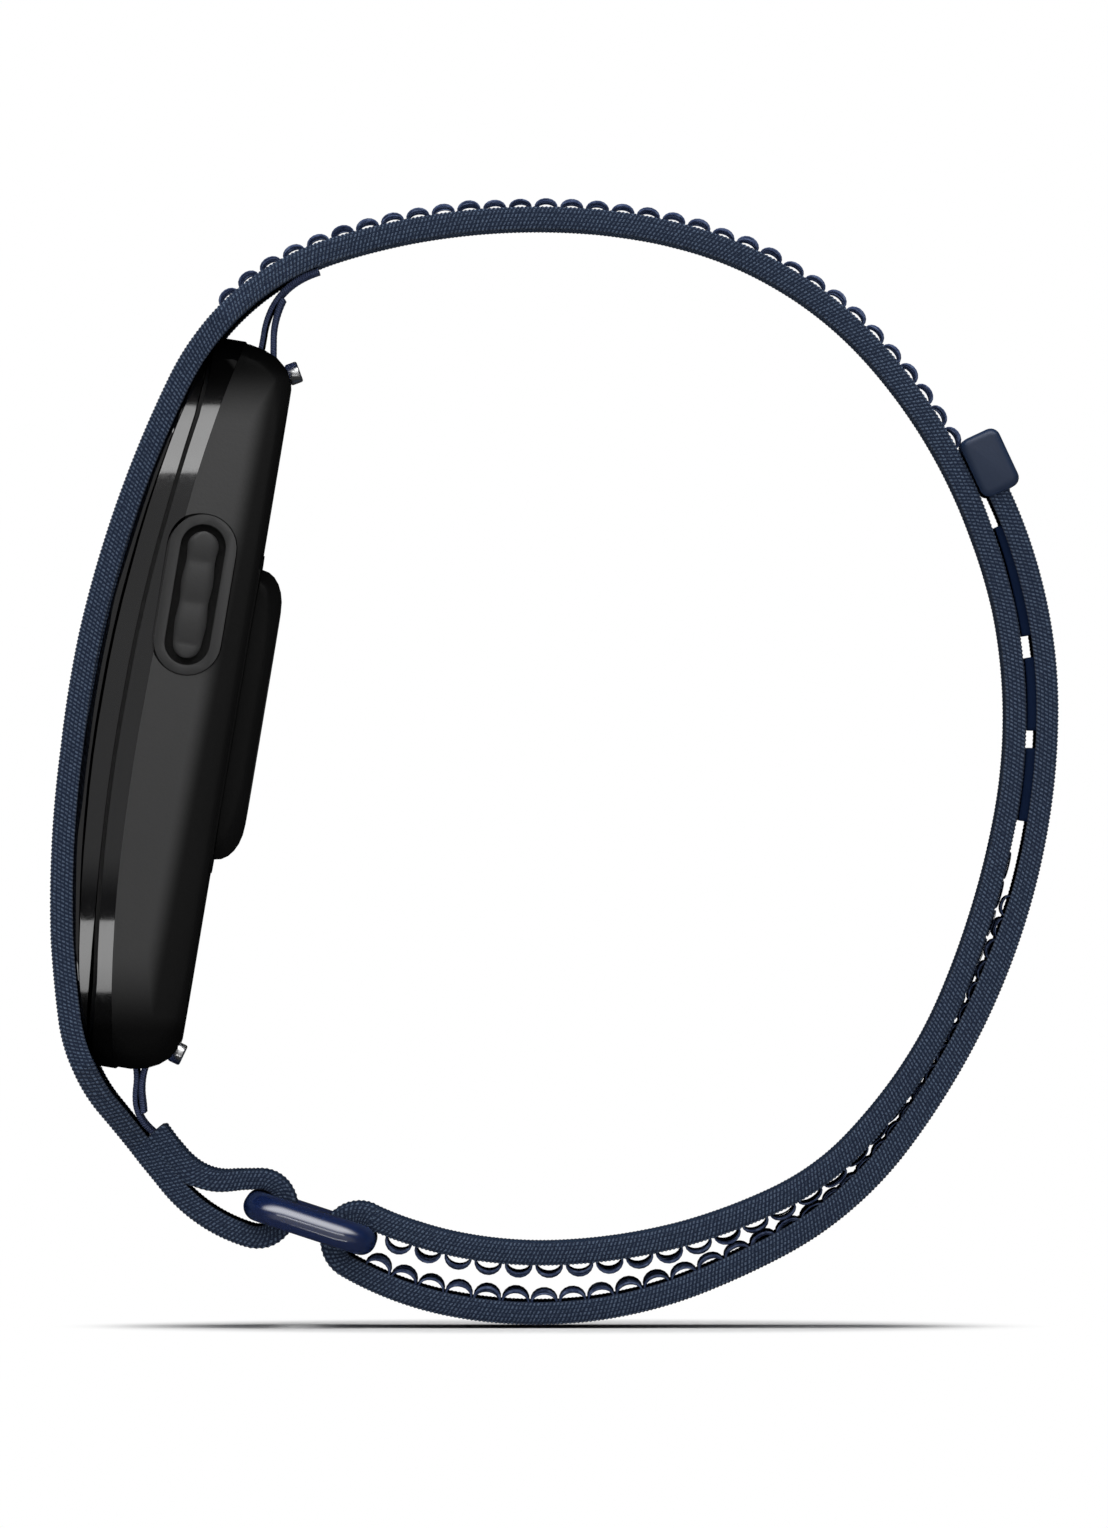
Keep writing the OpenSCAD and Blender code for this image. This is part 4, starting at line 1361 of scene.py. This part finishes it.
@dataclass
class ButtonCap:
    """The button's three-lobed cap, crowned in front and flat behind, and a dark sheet deep in the recess
    round it as painted shade.
    """

    centre: tuple[float, float] = (-0.8, 6.95)
    wave: float = 2.6
    wave_from: float = 0.8
    crown_from: float = -0.5
    half_width: float = 0.95
    waist: float = 0.05
    end_round: float = 1.05
    least: float = 0.0004
    crown_height: float = 0.15
    skirt: float = 0.12
    reach: float = 4.0
    front: float = -15.08
    back: float = -14.6
    rows: int = 61
    columns: int = 13
    recess_at: float = -14.17
    recess_radius: float = 1.4
    recess_half: float = 3.0
    recess_thick: float = 0.06
    recess_corners: int = 64

    def place(self, x: float, up: float, y: float) -> tuple[float, float, float]:
        """Returns the scene point, in metres, of a place measured from the button's middle."""
        sx, sz = POD.to_scene(self.centre[0] + x, self.centre[1] + up)
        return sx * MM, y * MM, sz * MM

    def outline(self, z: float) -> float:
        """Returns the cap's half width at a height from its middle."""
        wide = self.half_width + self.waist * math.cos(math.tau * (z - self.wave_from) / self.wave)
        end = max(0.0, (abs(z) - self.reach + self.end_round) / self.end_round)
        return wide * math.sqrt(max(1.0 - end * end, self.least))

    def crown(self, z: float, share: float) -> float:
        """Returns the front face's y at a height and a share of the half width."""
        wave = math.sin(math.pi * (z - self.crown_from) / self.wave)
        lobes = self.crown_height * (wave**2 + self.least) ** 0.35
        dome = lobes * math.sqrt(max(0.0, 1 - abs(z / self.reach) ** 6)) * (1 - share**4)
        return self.front - dome + self.skirt * share**6

    def build(self) -> bpy.types.Object:
        """Builds the cap in place as two grids joined round their rim."""
        rows, columns = self.rows, self.columns
        points: list[tuple[float, float, float]] = []
        for layer in range(2):
            for i in range(rows):
                z = -self.reach * math.cos(math.pi * i / (rows - 1))
                half = self.outline(z)
                for j in range(columns):
                    share = -math.cos(math.pi * j / (columns - 1))
                    points.append(self.place(share * half, z, self.back if layer else self.crown(z, share)))
        faces: list[tuple[int, ...]] = []
        base = rows * columns
        for i in range(rows - 1):
            for j in range(columns - 1):
                here = i * columns + j
                ring = (here, here + 1, here + columns + 1, here + columns)
                faces += [ring, tuple(base + k for k in reversed(ring))]
        rim = [*range(columns)]
        rim += [i * columns + columns - 1 for i in range(1, rows)]
        rim += [(rows - 1) * columns + j for j in range(columns - 2, -1, -1)]
        rim += [i * columns for i in range(rows - 2, 0, -1)]
        faces += [(b, a, a + base, b + base) for a, b in zip(rim, rim[1:] + rim[:1])]
        mesh = bpy.data.meshes.new("button_cap_lobes")
        mesh.from_pydata(points, [], faces)
        piece = add_object("button_cap_lobes", mesh)
        sharpen(mesh, 50)
        return piece

    def recess(self) -> bpy.types.Object:
        """Builds a dark sheet that closes the gap round the cap as painted shade in the recess, a thin plate
        with dished faces.
        """
        count = self.recess_corners
        work = bmesh.new()
        corners = []
        for y in (self.recess_at, self.recess_at + self.recess_thick):
            for k in range(count):
                angle = math.tau * k / count
                side = math.copysign(self.recess_half, 1 if math.sin(angle) > 0 else -1)
                x, up = self.recess_radius * math.cos(angle), side + self.recess_radius * math.sin(angle)
                corners.append(work.verts.new(self.place(x, up, y)))
        walls = [(k, (k + 1) % count, count + (k + 1) % count, count + k) for k in range(count)]
        for ring in (range(count), range(count, 2 * count), *walls):
            work.faces.new([corners[k] for k in ring])
        bmesh.ops.recalc_face_normals(work, faces=work.faces)
        work.normal_update()
        broad = [face for face in work.faces if abs(face.normal.y) > 0.9]
        bmesh.ops.inset_region(work, faces=broad, thickness=0.3 * MM, depth=-0.01 * MM)
        return finish_mesh("button_recess_shade_sheet", work, 30)

    def dress(self, finishes: Finishes) -> None:
        """Builds both pieces and sets them on their bodies."""
        cap = self.build()
        paint(cap, finishes["button_plastic"])
        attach(cap, "button")
        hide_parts("button_cap")
        # The dark sheet in the recess is painted shade.
        recess = self.recess()
        paint(recess, finishes["seal_rubber"])
        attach(recess, "tracker")


@dataclass(frozen=True)
class FrontSkin:
    """How one front part of the pod is brought out to the strap.

    Its front face is an arc in the pod's frame, given by its x at the middle, its radius and the
    height of its middle. The outer push holds at that face and the inner one at the depth.
    """

    top: float
    radius: float
    middle: float
    depth: float
    outer: Table
    inner: Table


def front_skins() -> dict[str, FrontSkin]:
    """Returns the skins of the glossy front parts and of the case, by node name."""
    glass: Table = (
        (-22, 0.7), (-20, 0.75), (-18, 0.72), (-13, 0.5), (-8, 0.38), (0, 0.26), (8, 0.3), (14, 0.38),
        (19, 0.42), (22, 0.3),
    )
    bezel: Table = (
        (-22.3, 0.6), (-20, 0.66), (-18, 0.58), (-13.7, 0.31), (-8, 0.1), (0, 0), (8, 0.05), (14.7, 0.25),
        (18.5, 0.42), (20.5, 0.6), (22.3, 0.75),
    )
    seam: Table = (
        (-22, 0.6), (-18, 0.2), (-13, 0.12), (0, 0), (12, 0.08), (18, 0.2), (20.5, 0.5), (22.5, 0.95),
    )
    trim: Table = (
        (-23, 0.5), (-18, 0.45), (-13, 0.35), (-6, 0.15), (0, 0.05), (6, 0.1), (14, 0.3), (23, 0.4),
    )
    still: Table = ((0, 0),)
    return {
        "cover_glass": FrontSkin(-5.87, 70.0, -0.5, 0.7, glass, still),
        "front_bezel": FrontSkin(-5.45, 76.0, 0.0, 1.2, bezel, seam),
        "seam_gasket": FrontSkin(-4.22, 105.0, -1.3, 0.3, seam, seam),
        "upper_frame": FrontSkin(-3.97, 105.0, -1.3, 1.2, seam, trim),
        "mid_case": FrontSkin(-2.8, 105.0, -1.3, 1.6, trim, still),
    }


# Width of the rounded edges of each outer solid, in millimetres.
EDGE_WIDTHS = {
    "cover_glass": 0.12, "front_bezel": 0.07, "seam_gasket": 0.0, "upper_frame": 0.07, "mid_case": 0.1,
    "back_cover": 0.08, "back_cover_screws": 0.06, "sensor_dome": 0.06, "sensor_window": 0.05,
    "button_bezel": 0.1, "charging_contacts": 0.06, "upper_lever": 0.12, "lower_lever": 0.12,
    "upper_bar_tube": 0.05, "lower_bar_tube": 0.05, "strap_ring": 0.0,
}


@dataclass
class Pod:
    """The tracker's case, glass, sensor dome and spring bars, and the ring, with softened edges.

    The cover glass keeps its shape as far across as the window in the strap reaches, and is
    pushed out only in the hidden margin beyond.
    """

    skins: dict[str, FrontSkin] = field(default_factory=front_skins)
    glass_still: float = 11.6
    glass_fade: float = 1.8
    glass_cuts: tuple[float, ...] = (-13.4, -12.5, -11.6, 11.6, 12.5, 13.4)

    def cut_glass(self, mesh: bpy.types.Mesh) -> None:
        """Cuts the glass along its hidden margins, so that they can be pushed on their own."""
        work = bmesh.new()
        work.from_mesh(mesh)
        for level in self.glass_cuts:
            geometry = [*work.verts, *work.edges, *work.faces]
            plane = {"plane_co": (0.0, level * MM, 0.0), "plane_no": (0.0, 1.0, 0.0)}
            bmesh.ops.bisect_plane(work, geom=geometry, dist=1e-7, **plane)
        work.to_mesh(mesh)
        work.free()

    def shape(self, name: str, mesh: bpy.types.Mesh) -> None:
        """Brings the pod's front parts out to the strap's inner face."""
        if name not in self.skins:
            return
        skin, margin = self.skins[name], 1.0
        if name == "cover_glass":
            self.cut_glass(mesh)
        points = np.empty(len(mesh.vertices) * 3)
        mesh.vertices.foreach_get("co", points)
        points = points.reshape(-1, 3) / MM
        x, z = POD.from_scene(points[:, 0], points[:, 2])
        face = skin.top + (z - skin.middle) ** 2 / (2 * skin.radius)
        share = np.clip(1 - (x - face) / skin.depth, 0, 1)
        if name == "cover_glass":
            margin = np.clip((np.abs(points[:, 1]) - self.glass_still) / self.glass_fade, 0.0, 1.0)
        x = x - margin * (look_up(skin.outer, z) * share + look_up(skin.inner, z) * (1 - share))
        points[:, 0], points[:, 2] = POD.to_scene(x, z)
        mesh.vertices.foreach_set("co", (points * MM).ravel())
        mesh.update()

    def dress(self, frame: dict[str, Any], finishes: Finishes) -> None:
        """Copies each outer solid with rounded edges and finishes every solid."""
        slots = {part["node"]: part["material_slot"] for part in frame["record"]["subparts"]}
        for name, node in frame["nodes"].items():
            if name in EDGE_WIDTHS:
                piece = soften(node, name + "_skin", EDGE_WIDTHS[name])
                self.shape(name, piece.data)
                paint(piece, finishes["button_plastic" if name == "button_bezel" else slots[name]])
                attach(piece, node["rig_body"])
                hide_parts(name)
                LOG.info("%s: %d faces", piece.name, len(piece.data.polygons))
            elif not node.hide_render:
                paint(node, finishes[slots[name]])


# ---- Studio ----
@dataclass(frozen=True)
class Studio:
    """Floor, soft light and the camera."""

    view_height: float = 95.5
    centre_height: float = 34.94
    lens: float = 1100.0
    sensor: float = 36.0
    nearer: float = 0.0125
    floor_at: float = -0.36
    floor_half: float = 1.2
    floor_oval: tuple[float, float, float] = (1.45, 1.0, 1.0)
    floor_fade: tuple[float, float] = (0.028, 0.046)
    band_low: tuple[float, float] = (-0.27, -0.2)
    band_high: tuple[float, float] = (0.33, 0.36)
    band_facing: tuple[float, float] = (0.45, 0.95)
    band_light: float = 0.28
    dim_light: float = 0.03
    high_up: tuple[float, float] = (0.5, 0.75)
    high_facing: tuple[float, float] = (0.05, 0.45)
    high_light: float = 3.6
    ambient: tuple[float, float] = (0.07, 1.05)

    def floor(self) -> bpy.types.Object:
        """Builds the pale floor, which fades to plain white away from the object."""
        low, far = self.floor_at * MM, self.floor_half
        mesh = bpy.data.meshes.new("floor")
        corners = [(-far, -far, low), (far, -far, low), (far, far, low), (-far, far, low)]
        mesh.from_pydata(corners, [], [(0, 1, 2, 3)])
        piece = add_object("floor", mesh)
        material, wires, shader, place = start_material("pale floor")
        pale = (0.93, 0.93, 0.93, 1.0)
        wires.feed(shader, {"Base Color": pale, "Roughness": 0.9, "Specular IOR Level": 0.1})
        oval = wires.vector("MULTIPLY", place, self.floor_oval)
        away = wires.add("ShaderNodeVectorMath", {0: oval}, operation="LENGTH").outputs["Value"]
        plain = wires.add("ShaderNodeEmission", {"Color": (1, 1, 1, 1), "Strength": 1.0})
        seen = wires.add("ShaderNodeLightPath").outputs["Is Camera Ray"]
        fade = wires.math("MULTIPLY", wires.span(away, *self.floor_fade), seen)
        mix = wires.add("ShaderNodeMixShader", {0: fade, 1: shader.outputs[0], 2: plain.outputs[0]})
        wires.feed(material.node_tree.nodes["Material Output"], {0: mix.outputs[0]})
        paint(piece, material)
        piece.visible_glossy = False
        return piece

    def world(self) -> None:
        """Builds the white surround: plain white to the camera, soft and dimmer to the object."""
        world = bpy.data.worlds.new("studio")
        bpy.context.scene.world = world
        world.use_nodes = True
        wires = Wiring(world.node_tree)
        path = wires.add("ShaderNodeLightPath").outputs
        sky = wires.split(wires.add("ShaderNodeTexCoord").outputs["Generated"])
        up, ahead = sky[2], wires.math("MULTIPLY", sky[1], -1.0)
        below = wires.span(up, *self.band_high, 1.0, 0.0)
        band = wires.math("MULTIPLY", wires.span(up, *self.band_low), below)
        front = wires.math("MULTIPLY", band, wires.span(ahead, *self.band_facing))
        high = wires.math("MULTIPLY", wires.span(up, *self.high_up), wires.span(ahead, *self.high_facing))
        mirror = wires.math("MULTIPLY_ADD", front, self.band_light, self.dim_light)
        mirror = wires.math("MULTIPLY_ADD", high, self.high_light, mirror)
        ambient = wires.span(ahead, 0.0, 1.0, *self.ambient)
        glossy = wires.math("MULTIPLY", path["Is Glossy Ray"], mirror)
        soft = wires.math("ADD", glossy, wires.math("MULTIPLY", path["Is Diffuse Ray"], ambient))
        clear = wires.math("MAXIMUM", path["Is Camera Ray"], path["Is Transmission Ray"])
        strength = wires.math("ADD", soft, clear)
        wires.feed(world.node_tree.nodes["Background"], {"Color": (1.0, 1.0, 1.0, 1.0), "Strength": strength})

    def lamp(
        self, name: str, spot: tuple[float, float, float], size: tuple[float, float], power: float,
        mirrored: bool = True,
    ) -> None:
        """Adds a rectangular soft light that looks at the middle of the object.

        Args:
            name: The lamp's name.
            spot: Its place, in metres.
            size: Its two sides, in metres.
            power: Its power, in watts.
            mirrored: Whether glossy surfaces show it.
        """
        light = bpy.data.lights.new(name, "AREA")
        light.shape = "RECTANGLE"
        light.size, light.size_y = size
        light.energy = power
        holder = bpy.data.objects.new(name, light)
        holder.location = spot
        aim = Vector((0.0, 0.0, self.centre_height * MM)) - Vector(spot)
        holder.rotation_euler = aim.to_track_quat("-Z", "Y").to_euler()
        holder.visible_glossy = mirrored
        bpy.context.scene.collection.objects.link(holder)

    def camera(self) -> None:
        """Sets the long lens that looks straight along the strap's width."""
        data = bpy.data.cameras.new("camera")
        data.lens = self.lens
        data.clip_end = 20.0
        away = self.view_height * MM * self.lens / self.sensor + self.nearer
        holder = bpy.data.objects.new("camera", data)
        holder.location = (0.0, -away, self.centre_height * MM)
        holder.rotation_euler = (math.pi / 2, 0.0, 0.0)
        bpy.context.scene.collection.objects.link(holder)
        bpy.context.scene.camera = holder

    def build(self) -> None:
        """Builds the whole studio."""
        bpy.context.scene.view_settings.view_transform = "Standard"
        self.floor()
        self.world()
        self.camera()
        self.lamp("overhead", (0.0, 0.0, 0.9), (0.5, 0.8), 7.0, mirrored=False)
        self.lamp("upper card", (0.0, -0.93, 0.414), (0.7, 0.095), 0.78)
        self.lamp("lower card", (0.0, -0.93, -0.308), (0.7, 0.1), 0.7)


def main() -> None:
    """Loads the solids, sets up the studio and builds every piece."""
    logging.basicConfig(level=logging.INFO, format="%(message)s")
    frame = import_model()
    finishes = all_finishes(Effects())
    Studio().build()
    strap = Strap()
    tree = LoopTree(finishes["loop_yarn"])
    pieces = strap.dress(finishes)
    pieces += [ribbon.dress(finishes) for ribbon in lug_ribbons()]
    pieces += [loops.build(tree) for loops in loop_fields(strap)]
    for piece in pieces:
        LOG.info("%s: %d faces", piece.name, len(piece.data.polygons))
    EndTab().dress(strap, finishes)
    ButtonCap().dress(finishes)
    Pod().dress(frame, finishes)
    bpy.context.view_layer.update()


if __name__ == "__main__":
    main()
